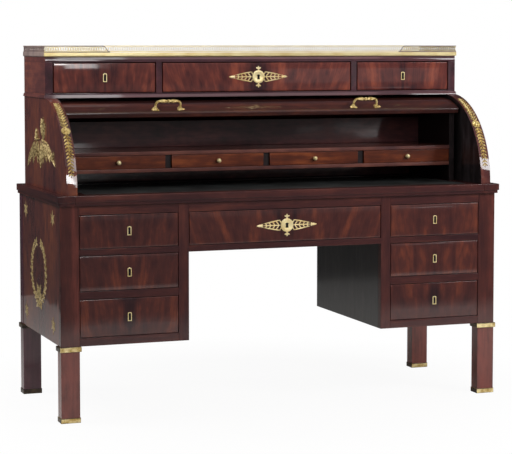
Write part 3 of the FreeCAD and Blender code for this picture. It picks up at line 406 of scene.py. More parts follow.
class Boards:  # gathers boards into one mesh, with a grain direction for each
    def __init__(self, seed):
        self.verts, self.faces, self.grain, self.lot = [], [], [], []
        self.chance = random.Random(seed)

    def add(self, solid, along=None, place=None):  # along is 0, 1 or 2 for X, Y or Z
        points = [v.co.copy() for v in solid.verts]
        low, high = extent(points)
        order = sorted(range(3), key=lambda i: low[i] - high[i])  # longest side first
        if along is not None:
            order = [along] + [i for i in order if i != along]
        lot = [self.chance.uniform(0, lotSpread) for i in range(3)]
        start = len(self.verts)
        solid.verts.index_update()
        for p in points:
            self.verts.append(p)
            self.grain.append(place(p) if place else [p[i] - (low[i] + high[i]) / 2 for i in order])
            self.lot.append(lot)
        for face in solid.faces:
            self.faces.append([v.index + start for v in face.verts])
        solid.free()

    def mesh(self, name):
        mesh = bpy.data.meshes.new(name)
        mesh.from_pydata(self.verts, [], self.faces)
        for attribute, values in (("grain", self.grain), ("lot", self.lot)):
            layer = mesh.attributes.new(attribute, "FLOAT_VECTOR", "POINT")
            layer.data.foreach_set("vector", [c for spot in values for c in spot])
        return mesh


def easedBoards(nodeName, seed, easing, along=None, shape=None):  # a CAD node's boards, shaped or eased
    boards = Boards(seed)
    for faces in splitSolids(nodeName):
        solid = weldSolid(faces)
        if not (shape and shape(solid)):
            easeEdges(solid, easing)
        boards.add(solid, along)
    return boards.mesh(nodeName)


# Mouldings of the frieze: fillets that lean back, so that each holds one band of light
rake = {  # mm, and shares of the height
    "bead": 5.0, "lean": (2.34, 0.73), "slack": 0.1, "ends": 0.01, "top": 0.45, "topLean": 0.29, "rows": 4,
    "topEasing": 0.8, "topFront": 3.0, "topLong": 1000.0}
friezeLow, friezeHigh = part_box("frieze_boards")


def rakeFrieze(solid):  # reshapes a bead or the top board, and says whether it did
    low, high = extent(v.co for v in solid.verts)
    tall = high.z - low.z
    wallX, wallY = friezeHigh.x - rake["bead"] * mm, friezeLow.y + rake["bead"] * mm
    slack = rake["slack"] * mm
    if low.y < wallY - mm:  # front bead and side beads
        for v in solid.verts:
            share = (v.co.z - low.z) / tall
            if rake["ends"] < share < 1 - rake["ends"]:
                reach = rake["bead"] - rake["lean"][0] * share - rake["lean"][1] * share * share
                if abs(v.co.x) > wallX + slack:
                    v.co.x = math.copysign(wallX + reach * mm, v.co.x)
                if v.co.y < wallY - slack:
                    v.co.y = wallY - reach * mm
        return True
    if high.x - low.x > rake["topLong"] * mm and high.z > friezeHigh.z - mm:  # the top board
        easeEdges(solid, rake["topEasing"])
        for row in range(rake["rows"]):
            cutLevel(solid, low.z + tall * (rake["top"] + (1 - rake["top"]) * row / rake["rows"]))
        for v in solid.verts:
            if v.co.y < low.y + rake["topFront"] * mm:
                v.co.y += max(0, v.co.z - low.z - tall * rake["top"]) * rake["topLean"]
        return True
    return False


# Joinery of the carcass: finish, grain axis (None follows the length), easing of the arrises in mm
joinery = {
    "corner_posts": (postWood, 2, 1.0),
    "base_side_panels": (sideWood, 2, 0.6),
    # painted shade: the pedestals' inner sides are nearly black
    "pedestal_inner_sides": (shadeWood, 2, 0.6),
    "base_back_panels": (sideWood, 2, 0.6),
    "front_rails": (railWood, None, 0.8),
    "bed": (railWood, None, 1.0),
    "cheeks": (sideWood, 2, 1.2),
    "cabinet_back": (sideWood, 0, 0.6),
    "frieze_boards": (stileWood, None, 0.8),
    "cabinet_top": (topWood, 0, 0.8)}
facing = 0.5  # a face within 60 degrees of a direction faces it


def outward(face):  # how far a face looks away from the desk's middle
    return face.normal.x * math.copysign(1, face.center.x)


def isFarLeft(face):  # on the back left post, which is given painted shade
    return face.center.x < 0 < face.center.y


otherSides = {  # second finish, and the faces that have it
    "corner_posts": (backPostShadeWood, isFarLeft),
    # painted shade: the cheeks' inner faces are nearly black
    "cheeks": (shadeWood, lambda face: outward(face) < -facing),
    "cabinet_back": (dimWood, lambda face: face.normal.y < -facing),
    # painted light: the frieze's outer ends are paler
    "frieze_boards": (endWood, lambda face: outward(face) > facing)}
shapers = {"frieze_boards": rakeFrieze}
for seed, (nodeName, (finish, along, easing)) in enumerate(joinery.items()):
    mesh = easedBoards(nodeName, seed, easing, along, shapers.get(nodeName))
    piece = finishPiece(nodeName + "_eased", mesh, finish, "carcass", [nodeName])
    if nodeName in otherSides:
        secondFinish(piece, *otherSides[nodeName])

# Small case behind the slide: shelves, dark back boards, and partitions nearly black with painted shade
innerCase = {"seed": 20, "easing": 1.4, "upright": 50.0, "shelfDepth": 100.0}  # mm
shelves, innerBack, partitions = [Boards(innerCase["seed"] + i) for i in range(3)]
for faces in splitSolids("interior_case"):
    solid = weldSolid(faces)
    low, high = extent(v.co for v in solid.verts)
    size = high - low
    if size.x < innerCase["upright"] * mm:
        boards = partitions
    elif min(size.x, size.y) > innerCase["shelfDepth"] * mm:
        boards = shelves
    else:
        boards = innerBack
    easeEdges(solid, innerCase["easing"])
    boards.add(solid)
finishPiece("interior_shelves", shelves.mesh("shelves"), caseWood, "carcass", ["interior_case"])
finishPiece("interior_back", innerBack.mesh("inner back"), dimWood, "carcass")
finishPiece("interior_partitions", partitions.mesh("partitions"), gapWood, "carcass")
for nodeName in ("dust_boards", "drawer_runners"):
    dressNode(nodeName, oakLining)
for nodeName in ("pivot_pins", "cylinder_arms"):
    dressNode(nodeName, iron)
print("joinery eased")

# Drawers: veneered fronts on oak boxes, and small drawers of one wood
largeDrawers = [
    side + "_" + level + "_drawer" for side in ("left", "right") for level in ("bottom", "middle", "top")]
largeDrawers += ["centre_drawer", "frieze_left_drawer", "frieze_centre_drawer", "frieze_right_drawer"]
smallDrawers = ["small_drawer_" + str(i + 1) for i in range(4)]
drawerFront = {  # mm; the crown grows with a power of the height from the middle
    "seed": 100, "round": 2.2, "segments": 3, "crown": 1.1, "friezeCrown": 0.6, "power": 4, "rows": 12,
    "gap": 0.8, "friezeGap": 2.0}
smallDrawer = {"seed": 200, "easing": 0.8}  # mm


def crownedBoard(low, high, crown):  # a board whose face falls back a little towards its top and bottom
    board = boxSolid(low, high)
    easeEdges(
        board, drawerFront["round"], drawerFront["segments"],
        lambda e: max(v.co.y for v in e.verts) < low.y + mm)
    half, middle = (high.z - low.z) / 2, (high.z + low.z) / 2
    for row in range(1, drawerFront["rows"]):
        cutLevel(board, middle + half * (2 * row / drawerFront["rows"] - 1))
    for v in board.verts:
        if v.co.y < (low.y + high.y) / 2:
            v.co.y += crown * mm * ((v.co.z - middle) / half) ** drawerFront["power"]
    return board


for seed, drawer in enumerate(largeDrawers):
    boards = Boards(drawerFront["seed"] + seed)
    isFrieze = drawer.startswith("frieze")
    crown = drawerFront["friezeCrown" if isFrieze else "crown"]
    gap = drawerFront["friezeGap" if isFrieze else "gap"] * mm * Vector((1, 0, 1))
    veneer = friezeWood if isFrieze else frontWood
    low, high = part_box(drawer + "_front")
    boards.add(crownedBoard(low + gap, high - gap, crown), 2)
    finishPiece(drawer + "_front_board", boards.mesh(drawer), veneer, drawer, [drawer + "_front"])
    dressNode(drawer + "_box", oakLining)
for seed, drawer in enumerate(smallDrawers):
    mesh = easedBoards(drawer, smallDrawer["seed"] + seed, smallDrawer["easing"])
    finishPiece(drawer + "_case", mesh, innerWood, drawer, [drawer])
print("drawers made:", len(largeDrawers) + len(smallDrawers))

# The fall: a curved board about the hinge line, with a rounded lip
fallJoint = next(j for j in frame["joints"] if j["name"] == "fall_turn")
axisY, axisZ = fallJoint["pos_m"][1:]


def polar(point):  # radius, and angle up from the front, about the hinge line
    return math.hypot(point.y - axisY, point.z - axisZ), math.atan2(point.z - axisZ, axisY - point.y)


def fromPolar(x, radius, angle):  # a point about the hinge line
    return Vector((x, axisY - radius * math.cos(angle), axisZ + radius * math.sin(angle)))


fallShape = {  # mm and degrees
    "seed": 300, "steps": 60, "lipRound": 4.0, "lipSteps": 4, "columns": 24, "smooth": 30.0}
shellSpots = [polar(v.co) for v in nodes["cylinder_shell"].data.vertices]
shellOuter = max(r for r, a in shellSpots)
shellInner = min(r for r, a in shellSpots)
lipAngle = min(a for r, a in shellSpots)
tailAngle = max(a for r, a in shellSpots)
shellLow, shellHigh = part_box("cylinder_shell")


def fallSection():  # radius and angle round the section, lip first
    lip = fallShape["lipRound"] * mm
    turn = lip / shellOuter
    section = []
    for i in range(fallShape["lipSteps"] + 1):  # round on the lip's outer arris
        bend = math.pi / 2 * i / fallShape["lipSteps"]
        section.append((shellOuter - lip + lip * math.sin(bend), lipAngle + turn * (1 - math.cos(bend))))
    for i in range(1, fallShape["steps"] + 1):
        section.append((shellOuter, lipAngle + turn + (tailAngle - lipAngle - turn) * i / fallShape["steps"]))
    for i in range(fallShape["steps"] + 1):
        section.append((shellInner, tailAngle + (lipAngle - tailAngle) * i / fallShape["steps"]))
    return section


section = fallSection()
fall = bmesh.new()
columns = []
for i in range(fallShape["columns"] + 1):
    x = shellLow.x + (shellHigh.x - shellLow.x) * i / fallShape["columns"]
    columns.append([fall.verts.new(fromPolar(x, r, a)) for r, a in section])
skin(fall, columns)
bmesh.ops.recalc_face_normals(fall, faces=fall.faces)
boards = Boards(fallShape["seed"])
boards.add(fall, place=lambda p: (p.x, polar(p)[1] * shellOuter, polar(p)[0]))
finishPiece(
    "fall_board", boards.mesh("fall_board"), fallWood, "fall", ["cylinder_shell"],
    fallShape["smooth"])

# The writing slide and its leather
writingSlide = {"seed": 310, "easing": 0.8}  # mm
slideMesh = easedBoards("writing_slide", writingSlide["seed"], writingSlide["easing"], 0)
finishPiece("slide_board", slideMesh, railWood, "slide", ["writing_slide"])
dressNode("writing_leather", deskLeather)
print("fall and slide made")


def solidMesh(name, solid):  # a mesh whose faces point outwards
    bmesh.ops.recalc_face_normals(solid, faces=solid.faces)
    mesh = bpy.data.meshes.new(name)
    solid.to_mesh(mesh)
    solid.free()
    return mesh


def partObject(name, solid):  # an object outside the scene, for instances
    mesh = solidMesh(name, solid)
    mesh.shade_smooth()
    return bpy.data.objects.new(name, mesh)


# Cast ornament: leaves set on points by one node tree
def leafPart(name, spec):  # unit length, width and height, along X, with a ridge
    leaf = bmesh.new()
    rows, across = spec["rows"], spec["across"]
    base, tip = leaf.verts.new((0, 0, 0)), leaf.verts.new((1, 0, spec["tipLift"]))
    grid = []
    for i in range(1, rows):
        t = i / rows
        half = 0.5 * math.sin(math.pi * t ** spec["fullness"]) ** spec["blunt"]
        lift = math.sin(math.pi * t) * (1 - spec["tipLift"]) + spec["tipLift"] * t * t
        row = []
        for j in range(across + 1):
            side = 2 * j / across - 1
            row.append(leaf.verts.new((t, side * half, lift * (1 - abs(side) ** spec["ridge"]))))
        grid.append(row)
    for j in range(across):
        leaf.faces.new((base, grid[0][j + 1], grid[0][j]))
        leaf.faces.new((grid[-1][j], grid[-1][j + 1], tip))
        for near, far in zip(grid, grid[1:]):
            leaf.faces.new((near[j], near[j + 1], far[j + 1], far[j]))
    leaf.faces.new([base] + [row[0] for row in grid] + [tip] + [row[-1] for row in grid[::-1]])
    return partObject(name, leaf)


def setOnPoints():  # points with "along", "out" and "size" each carry one part
    tree = bpy.data.node_groups.new("set on points", "GeometryNodeTree")
    for label, way, kind in (
            ("Points", "INPUT", "Geometry"), ("Part", "INPUT", "Object"), ("Finish", "INPUT", "Material"),
            ("Mesh", "OUTPUT", "Geometry")):
        tree.interface.new_socket(label, in_out=way, socket_type="NodeSocket" + kind)
    given = addNode(tree, "NodeGroupInput")
    part = addNode(tree, "GeometryNodeObjectInfo", {"Object": given.outputs["Part"]})
    named = {}
    for name in ("along", "out", "size"):
        named[name] = addNode(
            tree, "GeometryNodeInputNamedAttribute", {"Name": name}, data_type="FLOAT_VECTOR").outputs[0]
    turn = addNode(tree, "FunctionNodeAlignRotationToVector", {"Vector": named["along"]}, axis="X")
    lean = addNode(tree, "FunctionNodeAlignRotationToVector", {
        "Rotation": turn.outputs[0], "Vector": named["out"]}, axis="Z", pivot_axis="X")
    placed = addNode(tree, "GeometryNodeInstanceOnPoints", {
        "Points": given.outputs["Points"], "Instance": part.outputs["Geometry"],
        "Rotation": lean.outputs[0], "Scale": named["size"]})
    real = addNode(tree, "GeometryNodeRealizeInstances", {"Geometry": placed.outputs[0]})
    dressed = addNode(tree, "GeometryNodeSetMaterial", {
        "Geometry": real.outputs[0], "Material": given.outputs["Finish"]})
    addNode(tree, "NodeGroupOutput", {"Mesh": dressed.outputs[0]})
    return tree


pointTree = setOnPoints()


def instances(name, spots, part, finish):  # a plain mesh of the part at each spot
    mesh = bpy.data.meshes.new(name)
    mesh.from_pydata([spot[0] for spot in spots], [], [])
    for i, attribute in enumerate(("along", "out", "size")):
        layer = mesh.attributes.new(attribute, "FLOAT_VECTOR", "POINT")
        layer.data.foreach_set("vector", [c for spot in spots for c in spot[i + 1]])
    holder = bpy.data.objects.new(name, mesh)
    scene.collection.objects.link(holder)
    modifier = holder.modifiers.new(name, "NODES")
    modifier.node_group = pointTree
    sockets = {item.name: item.identifier for item in pointTree.interface.items_tree}
    modifier[sockets["Part"]] = part
    modifier[sockets["Finish"]] = finish
    made = plainMesh(holder)
    bpy.data.objects.remove(holder)
    return made


def joined(name, *meshes):  # several meshes as one
    whole = bmesh.new()
    for mesh in meshes:
        whole.from_mesh(mesh)
    mesh = bpy.data.meshes.new(name)
    whole.to_mesh(mesh)
    whole.free()
    return mesh


def axes(origin, right, up):  # a local frame with its third axis out of the face
    right, up = Vector(right), Vector(up)
    return Matrix.Translation(Vector(origin)) @ Matrix((right, up, right.cross(up))).transposed().to_4x4()


def spin(solid, profile, sides, place):  # (radius, height) in mm about the third axis of a frame
    turns = [math.tau * i / sides for i in range(sides)]
    rings = []
    for radius, height in profile:
        rings.append([solid.verts.new(place @ Vector((
            radius * mm * math.cos(a), radius * mm * math.sin(a), height * mm)))
            for a in (turns if radius else turns[:1])])
    for low, high in zip(rings, rings[1:]):
        for i in range(sides):
            j = (i + 1) % sides
            corners = [low[i % len(low)], low[j % len(low)], high[j % len(high)], high[i % len(high)]]
            corners = list(dict.fromkeys(corners))  # at a pole two corners are one
            if len(corners) > 2:
                solid.faces.new(corners)


def rod(solid, stations, sides, place):  # (u, v, turn in degrees, radius) in mm, on axes one and three
    rings = []
    for u, v, turn, radius in stations:
        turn = math.radians(turn)
        ring = []
        for i in range(sides):
            side, rise = radius * math.cos(math.tau * i / sides), radius * math.sin(math.tau * i / sides)
            ring.append(solid.verts.new(place @ (mm * Vector((
                u - rise * math.sin(turn), side, v + rise * math.cos(turn))))))
        rings.append(ring)
    skin(solid, rings)


def plate(name, loops, thick, bevel, place):  # outlines in mm, first the rim, then the holes
    curve = bpy.data.curves.new(name, "CURVE")
    curve.dimensions = "2D"
    curve.fill_mode = "BOTH"
    curve.extrude = (thick / 2 - bevel) * mm
    curve.bevel_depth = bevel * mm
    curve.offset = -bevel * mm
    curve.bevel_resolution = 1
    for loop in loops:
        spline = curve.splines.new("POLY")
        spline.points.add(len(loop) - 1)
        spline.use_cyclic_u = True
        for point, (x, y) in zip(spline.points, loop):
            point.co = (x * mm, y * mm, 0, 1)
    holder = bpy.data.objects.new(name, curve)
    scene.collection.objects.link(holder)
    mesh = plainMesh(holder)
    bpy.data.objects.remove(holder)
    flat = bmesh.new()
    flat.from_mesh(mesh)
    bmesh.ops.remove_doubles(flat, verts=flat.verts, dist=1e-6)  # a thousandth of a mm
    bmesh.ops.translate(flat, vec=(0, 0, thick * mm / 2), verts=flat.verts)
    bmesh.ops.transform(flat, matrix=place, verts=flat.verts)
    return solidMesh(name, flat)


castLeaf = leafPart("cast leaf", {
    "rows": 6, "across": 4, "fullness": 0.8, "blunt": 0.8, "ridge": 1.4, "tipLift": 0.25})
right = Vector((1, 0, 0))
frontAxes = (right, (0, 0, 1))


def arcAxes(angle):  # directions away from the hinge line and up along the arc
    return Vector((0, -math.cos(angle), math.sin(angle))), Vector((0, math.sin(angle), math.cos(angle)))


# Leaf chain with a rosette on the front edge of each cheek
chain = {  # mm and degrees; leaves are length, width and height
    "from": 10.7, "to": 71.2, "rosette": 41.5, "pairs": {-1: 12, 1: 11}, "clear": 17.0, "taper": 0.3,
    "leaf": (19.5, 7.2, 5.4), "spread": 46.0, "stem": (17.0, 4.6, 3.8),
    "petals": 14, "petal": (9.0, 6.0, 3.0), "petalRing": 6.0, "petalLift": 1.2, "sides": 28, "smooth": 40.0}
rosetteTurn = [
    (0, 0), (15.6, 0), (16, 1.6), (14.8, 2.8), (13.2, 1.8), (7.0, 1.4), (6.2, 3.2), (3.4, 4.6), (0, 5.0)]
cheekSpots = [v.co for v in nodes["cheeks"].data.vertices if v.co.x > 0 and v.co.y < axisY]
cheekRadius = max(polar(c)[0] for c in cheekSpots)
cheekMiddle = (max(c.x for c in cheekSpots) + min(c.x for c in cheekSpots)) / 2


def chainSpots(x):  # stems and pairs of leaves, up and down from the rosette
    spots = []
    lean = math.radians(chain["spread"])
    for way, last in ((-1, chain["from"]), (1, chain["to"])):
        reach = abs(math.radians(last - chain["rosette"])) * cheekRadius
        count = chain["pairs"][way]
        for i in range(count + 1):
            run = chain["clear"] * mm + (reach - chain["clear"] * mm) * i / count
            angle = math.radians(chain["rosette"]) + way * run / cheekRadius
            out, rise = arcAxes(angle)
            forward = way * rise
            size = 1 - chain["taper"] * (i / count) ** 2
            place = fromPolar(x, cheekRadius, angle)
            root = place - forward * chain["stem"][0] * mm / 2
            spots.append((root, forward, out, fromMm(chain["stem"], size)))
            for side in (-1, 1) if i < count else ():  # the last stem has no leaves
                along = math.cos(lean) * forward + side * math.sin(lean) * right
                spots.append((place, along, out, fromMm(chain["leaf"], size)))
    return spots


def petalSpots(hub, out, rise):  # petals round the rosette's hub
    spots = []
    for i in range(chain["petals"]):
        turn = math.tau * i / chain["petals"]
        along = math.cos(turn) * right + math.sin(turn) * rise
        root = hub + (chain["petalLift"] * out + chain["petalRing"] * along) * mm
        spots.append((root, along, out, fromMm(chain["petal"])))
    return spots


chainMeshes = []
for x in (-cheekMiddle, cheekMiddle):
    angle = math.radians(chain["rosette"])
    hub = fromPolar(x, cheekRadius, angle)
    out, rise = arcAxes(angle)
    spots = chainSpots(x) + petalSpots(hub, out, rise)
    rosette = bmesh.new()
    spin(rosette, rosetteTurn, chain["sides"], axes(hub, right, rise))
    chainMeshes += [instances("leaf chain", spots, castLeaf, giltBronze), solidMesh("rosette", rosette)]
print("leaf chains set")

# Ornaments on the cheeks' sides and on the base's sides, found by their solids
mountBoxes = [extent(Vector(c) for face in faces for c in face) for faces in splitSolids("gilt_mounts")]
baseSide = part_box("base_side_panels")[1].x
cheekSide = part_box("cheeks")[1].x
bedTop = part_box("bed")[1].z

# Cheek ornament: root towards the front and up from its middle, turn, length and width, in mm and degrees
cheekLeaves = [
    (35, 0, 106, 87, 15), (35, 0, 85, 90, 17), (35, 0, 63, 78, 14), (36, 22, 124, 48, 12),
    (36, 22, 50, 46, 12), (36, 50, 116, 34, 10), (36, 50, 58, 32, 10), (-58, 2, 96, 44, 13),
    (-60, 0, 126, 26, 9), (-56, 0, 62, 24, 9), (-100, 0, 225, 143, 13), (-82, 4, 230, 100, 13),
    (-64, 0, 239, 98, 14), (-46, 5, 246, 70, 12), (-26, 2, 259, 84, 13), (0, 4, 270, 100, 26),
    (26, 2, 278, 80, 13), (46, 5, 288, 66, 12), (64, 0, 292, 76, 14), (80, 4, 309, 92, 13),
    (92, 0, 326, 140, 14), (168, -62, 62, 42, 10), (-102, 2, 4, 96, 8), (4, 8, 353, 94, 8),
    (110, -20, 312, 52, 11), (-120, -22, 234, 76, 11)]
cheekOrnament = {"rise": 164.8, "back": 40.0, "height": 9.0}  # mm
sideMeshes = []
for way in (-1, 1):
    spots = []
    hub = Vector((way * cheekSide, axisY + cheekOrnament["back"] * mm, bedTop + cheekOrnament["rise"] * mm))
    for front, rise, turn, length, width in cheekLeaves:
        along = Vector((0, -math.cos(math.radians(turn)), math.sin(math.radians(turn))))
        root = hub + mm * Vector((0, -front, rise))
        spots.append((root, along, Vector((way, 0, 0)), fromMm((length, width, cheekOrnament["height"]))))
    sideMeshes.append(instances("cheek ornament", spots, castLeaf, agedGilt))

# Wreath of laurel, open at the top and tied at the foot; the bow's leaves are turn, length and width
wreath = {  # mm and degrees
    "radius": 104.0, "nodes": 14, "gap": 12.0, "leaf": (27.0, 11.5, 3.2), "spread": 36.0,
    "stem": (26.0, 6.5, 3.0), "knotRise": 4.0, "bowHeight": 3.4, "leastTall": 100.0, "smooth": 40.0}
bowLeaves = [
    (216, 52, 20), (324, 52, 20), (246, 30, 14), (294, 30, 14), (118, 66, 22), (62, 66, 22), (90, 56, 15),
    (146, 48, 15), (34, 48, 15), (212, 40, 13), (328, 40, 13)]
star = {"radius": 31.0, "waist": 13.0, "edge": 0.6, "rise": 2.5, "points": 6}  # mm


def wreathSpots(hub, out):  # two branches of stems and leaves, and the bow
    spots = []
    tilt = math.radians(wreath["spread"])
    for side in (-1, 1):
        for i in range(wreath["nodes"]):
            turn = math.radians(-90 + side * (180 - wreath["gap"]) * i / wreath["nodes"])
            spoke = Vector((0, math.cos(turn), math.sin(turn)))
            forward = side * Vector((0, -math.sin(turn), math.cos(turn)))
            place = hub + wreath["radius"] * mm * spoke
            spots.append((place, forward, out, fromMm(wreath["stem"])))
            for lean in (-1, 1):
                along = math.cos(tilt) * forward + lean * math.sin(tilt) * spoke
                spots.append((place, along, out, fromMm(wreath["leaf"])))
    knot = hub - Vector((0, 0, (wreath["radius"] - wreath["knotRise"]) * mm))
    for turn, length, width in bowLeaves:
        turn = math.radians(turn)
        along = Vector((0, math.cos(turn), math.sin(turn)))
        spots.append((knot, along, out, fromMm((length, width, wreath["bowHeight"]))))
    return spots


def starMesh(place):  # a low pyramid on a star, with a thin edge
    solid = bmesh.new()
    rim = []
    for i in range(2 * star["points"]):
        radius = star["waist"] if i % 2 else star["radius"]
        turn = math.pi / 2 + math.pi * i / star["points"]
        spot = (radius * math.cos(turn), radius * math.sin(turn))
        rim.append([solid.verts.new(place @ (mm * Vector((*spot, height)))) for height in (0, star["edge"])])
    crown = solid.verts.new(place @ (mm * Vector((0, 0, star["rise"]))))
    for (low1, high1), (low2, high2) in zip(rim, rim[1:] + rim[:1]):
        solid.faces.new((low1, low2, high2, high1))
        solid.faces.new((high1, high2, crown))
    solid.faces.new([low1 for low1, high1 in rim][::-1])
    return solidMesh("star", solid)


for low, high in mountBoxes:
    middle = (low + high) / 2
    way = 1 if high.x > 0 else -1
    if abs(middle.x) < baseSide:  # chains and cheek ornaments, made above
        continue
    if high.z - low.z > wreath["leastTall"] * mm:
        hub = Vector((way * baseSide, middle.y, high.z - (high.y - low.y) / 2))
        spots = wreathSpots(hub, Vector((way, 0, 0)))
        sideMeshes.append(instances("wreath", spots, castLeaf, agedGilt))
    else:
        hub = Vector((way * baseSide, middle.y, middle.z))
        sideMeshes.append(starMesh(axes(hub, (0, way, 0), (0, 0, 1))))
finishPiece(
    "leaf_chains", joined("leaf chains", *chainMeshes), giltBronze, "carcass", ["gilt_mounts"],
    chain["smooth"])
finishPiece(
    "side_ornament", joined("side ornament", *sideMeshes), agedGilt, "carcass", (),
    wreath["smooth"])
print("side ornament set")

# Pierced mounts on the two middle drawers: a ring with two feathered wings and two finials
mount = {  # mm and degrees
    "wing": (22.0, 92.0), "wingHalf": (18.5, 5.6), "feathers": 6, "feather": 4.6, "lean": 50.0,
    "rib": (18.0, 80.0, 4.6), "rim": 4.6, "spear": (88.0, 25.0, 8.6), "height": 2.0,
    "thick": 2.6, "bevel": 0.5, "sides": 32, "keyScale": 1.7, "keyWiden": 1.6}
mountRing = [(0, 0), (23.5, 0), (23.5, 1.8), (21.5, 3.2), (16.4, 3.2), (14.4, 1.6), (0, 1.6)]
finial = [(2.6, 20), (2.4, 27), (9.6, 31), (8.4, 34.5), (3.8, 33.4), (0, 40)]


def wingSpots(place):  # feathers on both sides of a rib, on both wings
    spots = []
    turned = place.to_3x3()
    out = turned @ Vector((0, 0, 1))
    (start, end), (broad, narrow) = mount["wing"], mount["wingHalf"]
    lean = math.radians(mount["lean"])
    slope = math.degrees(math.atan2(broad - narrow, end - start))
    edge = math.hypot(end - start, broad - narrow)

    def put(way, u, v, turn, length, width):
        turn = math.radians(turn if way > 0 else 180 - turn)
        along = turned @ Vector((math.cos(turn), math.sin(turn), 0))
        root = place @ (mm * Vector((way * u, v, 0)))
        spots.append((root, along, out, fromMm((length, width, mount["height"]))))

    for way in (-1, 1):
        for u, length, width in (mount["rib"], mount["spear"]):
            put(way, u, 0, 0, length, width)
        for side in (-1, 1):
            put(way, start, side * broad, -side * slope, edge, mount["rim"])
        for i in range(mount["feathers"]):
            share = i / (mount["feathers"] - 1)
            length = (broad + (narrow - broad) * share) / math.sin(lean)
            root = start + (end - start) * share - length * math.cos(lean) / 2
            for side in (-1, 1):
                put(way, root, side, side * mount["lean"], length, mount["feather"])
    return spots


def piercedMount(place):  # feathers, finials and ring
    meshes = [instances("feathers", wingSpots(place), castLeaf, giltBronze)]
    tip = finial + [(-x, y) for x, y in finial[-2::-1]]
    for way in (1, -1):
        loop = [(x, way * y) for x, y in tip]
        meshes.append(plate("finial", [loop], mount["thick"], mount["bevel"], place))
    ring = bmesh.new()
    spin(ring, mountRing, mount["sides"], place)
    return meshes + [solidMesh("ring", ring)]


# Locks: an arched brass frame round an opening covered by a plate of painted shade, or the pierced mount, and
# the lock's case behind
keyShape = {  # mm and degrees: a round eye over a flared slot, as a thin plate of painted shade
    "eye": 2.2, "eyeRise": 2.6, "eyeTurn": 140, "eyeStep": 20, "slotHalf": 2.0, "slotFoot": -5.4,
    "thick": 0.4, "bevel": 0.1}
escutcheon = {  # mm and degrees
    "half": (7.0, 15.0), "wall": 2.6, "arch": 3.0, "thick": 1.6, "bevel": 0.3, "steps": 8, "caseEasing": 0.6,
    "smooth": 40.0}


def keyLoop(scale, widen):  # outline of a keyhole
    turns = [math.radians(d) for d in range(
        -keyShape["eyeTurn"], keyShape["eyeTurn"] + 1, keyShape["eyeStep"])]
    radius, rise = keyShape["eye"], keyShape["eyeRise"]
    eye = [(radius * math.sin(a), rise + radius * math.cos(a)) for a in turns]
    slot = [(way * keyShape["slotHalf"], keyShape["slotFoot"]) for way in (1, -1)]
    return [(scale * x * widen, scale * y) for x, y in eye + slot]


def archLoop(inset):  # a rectangle with an arched head
    halfWidth, halfHeight = [half - inset for half in escutcheon["half"]]
    arch, steps = escutcheon["arch"], escutcheon["steps"]
    turns = [math.pi * i / steps for i in range(steps + 1)]
    head = [(halfWidth * math.cos(a), halfHeight - arch + arch * math.sin(a)) for a in turns]
    return [(-halfWidth, -halfHeight), (halfWidth, -halfHeight)] + head


for drawer in largeDrawers:
    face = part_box(drawer + "_front")[0].y
    lockCase, lockPlate = splitSolids(drawer + "_lock")[:2]
    low, high = extent(Vector(c) for triangle in lockPlate for c in triangle)
    place = axes(((low.x + high.x) / 2, face, (low.z + high.z) / 2), *frontAxes)
    meshes = [solidMesh("lock case", easedSolid(lockCase, escutcheon["caseEasing"]))]
    if drawer in ("centre_drawer", "frieze_centre_drawer"):
        meshes += piercedMount(place)
        keyPlace = place @ Matrix.Translation((0, 0, mountRing[-1][1] * mm))
        opening = keyLoop(mount["keyScale"], mount["keyWiden"])
    else:
        keyPlace = place
        opening = archLoop(escutcheon["wall"])
        loops = [archLoop(0.0), opening]
        meshes.append(plate("escutcheon", loops, escutcheon["thick"], escutcheon["bevel"], place))
    dark = plate("keyhole", [opening], keyShape["thick"], keyShape["bevel"], keyPlace)
    whole = joined(drawer + " lock", *meshes)
    finishPiece(
        drawer + "_escutcheon", whole, mountBrass, drawer, [drawer + "_lock"], escutcheon["smooth"])
    finishPiece(drawer + "_keyhole", dark, keyholeShade, drawer)
print("locks and mounts set")

# Bail handles on the fall: leaf feet, a bent rod with two swells and a collar
bail = {  # mm and degrees; swells are shares of the way out and radii, collars are places and radii
    "foot": 45.0, "reach": 30.0, "bend": 14.0, "steps": 8, "sides": 14, "rod": 4.1, "root": 1.0,
    "swells": [(0.96, 4.3), (0.8, 5.6), (0.6, 6.8), (0.42, 6.2), (0.26, 4.4), (0.16, 4.2)],
    "collars": [(3.2, 5.6), (1.6, 6.6)], "footSides": 16, "footDepth": 0.5,
    "leaves": [(208, 18, 14), (305, 19, 13), (256, 15, 11), (100, 10, 9), (150, 10, 9), (35, 10, 9)],
    "leafHeight": 6.0, "leafLift": 0.4, "smooth": 60.0}
footTurn = [
    (0, 0), (9.5, 0), (9.8, 1.6), (7.4, 3.4), (6.6, 5.0), (4.6, 6.2), (5.6, 8.0), (4.2, 9.6), (0, 9.8)]
bailSpots = [v.co for v in nodes["cylinder_handles"].data.vertices]
footSpots = [polar(c) for c in bailSpots]
footRadius = min(r for r, a in footSpots)
footAngles = [a for r, a in footSpots if r < footRadius + bail["footDepth"] * mm]
footAngle = sum(footAngles) / len(footAngles)
bailX = (min(c.x for c in bailSpots if c.x > 0) + max(c.x for c in bailSpots)) / 2


def bailStations():  # along the rod from the left foot to the middle, then mirrored
    half, reach, bend, thin = bail["foot"], bail["reach"], bail["bend"], bail["rod"]
    left = [(-half, bail["root"], 90, thin), (-half, reach - bend, 90, thin)]
    for i in range(1, bail["steps"] + 1):
        turn = math.pi / 2 * i / bail["steps"]
        u, v = -half + bend * (1 - math.cos(turn)), reach - bend + bend * math.sin(turn)
        left.append((u, v, 90 - math.degrees(turn), thin))
    left += [(-(half - bend) * share, reach, 0, radius) for share, radius in bail["swells"]]
    left += [(-u, reach, 0, radius) for u, radius in bail["collars"]]
    return left + [(-u, v, -turn, radius) for u, v, turn, radius in left[::-1]]


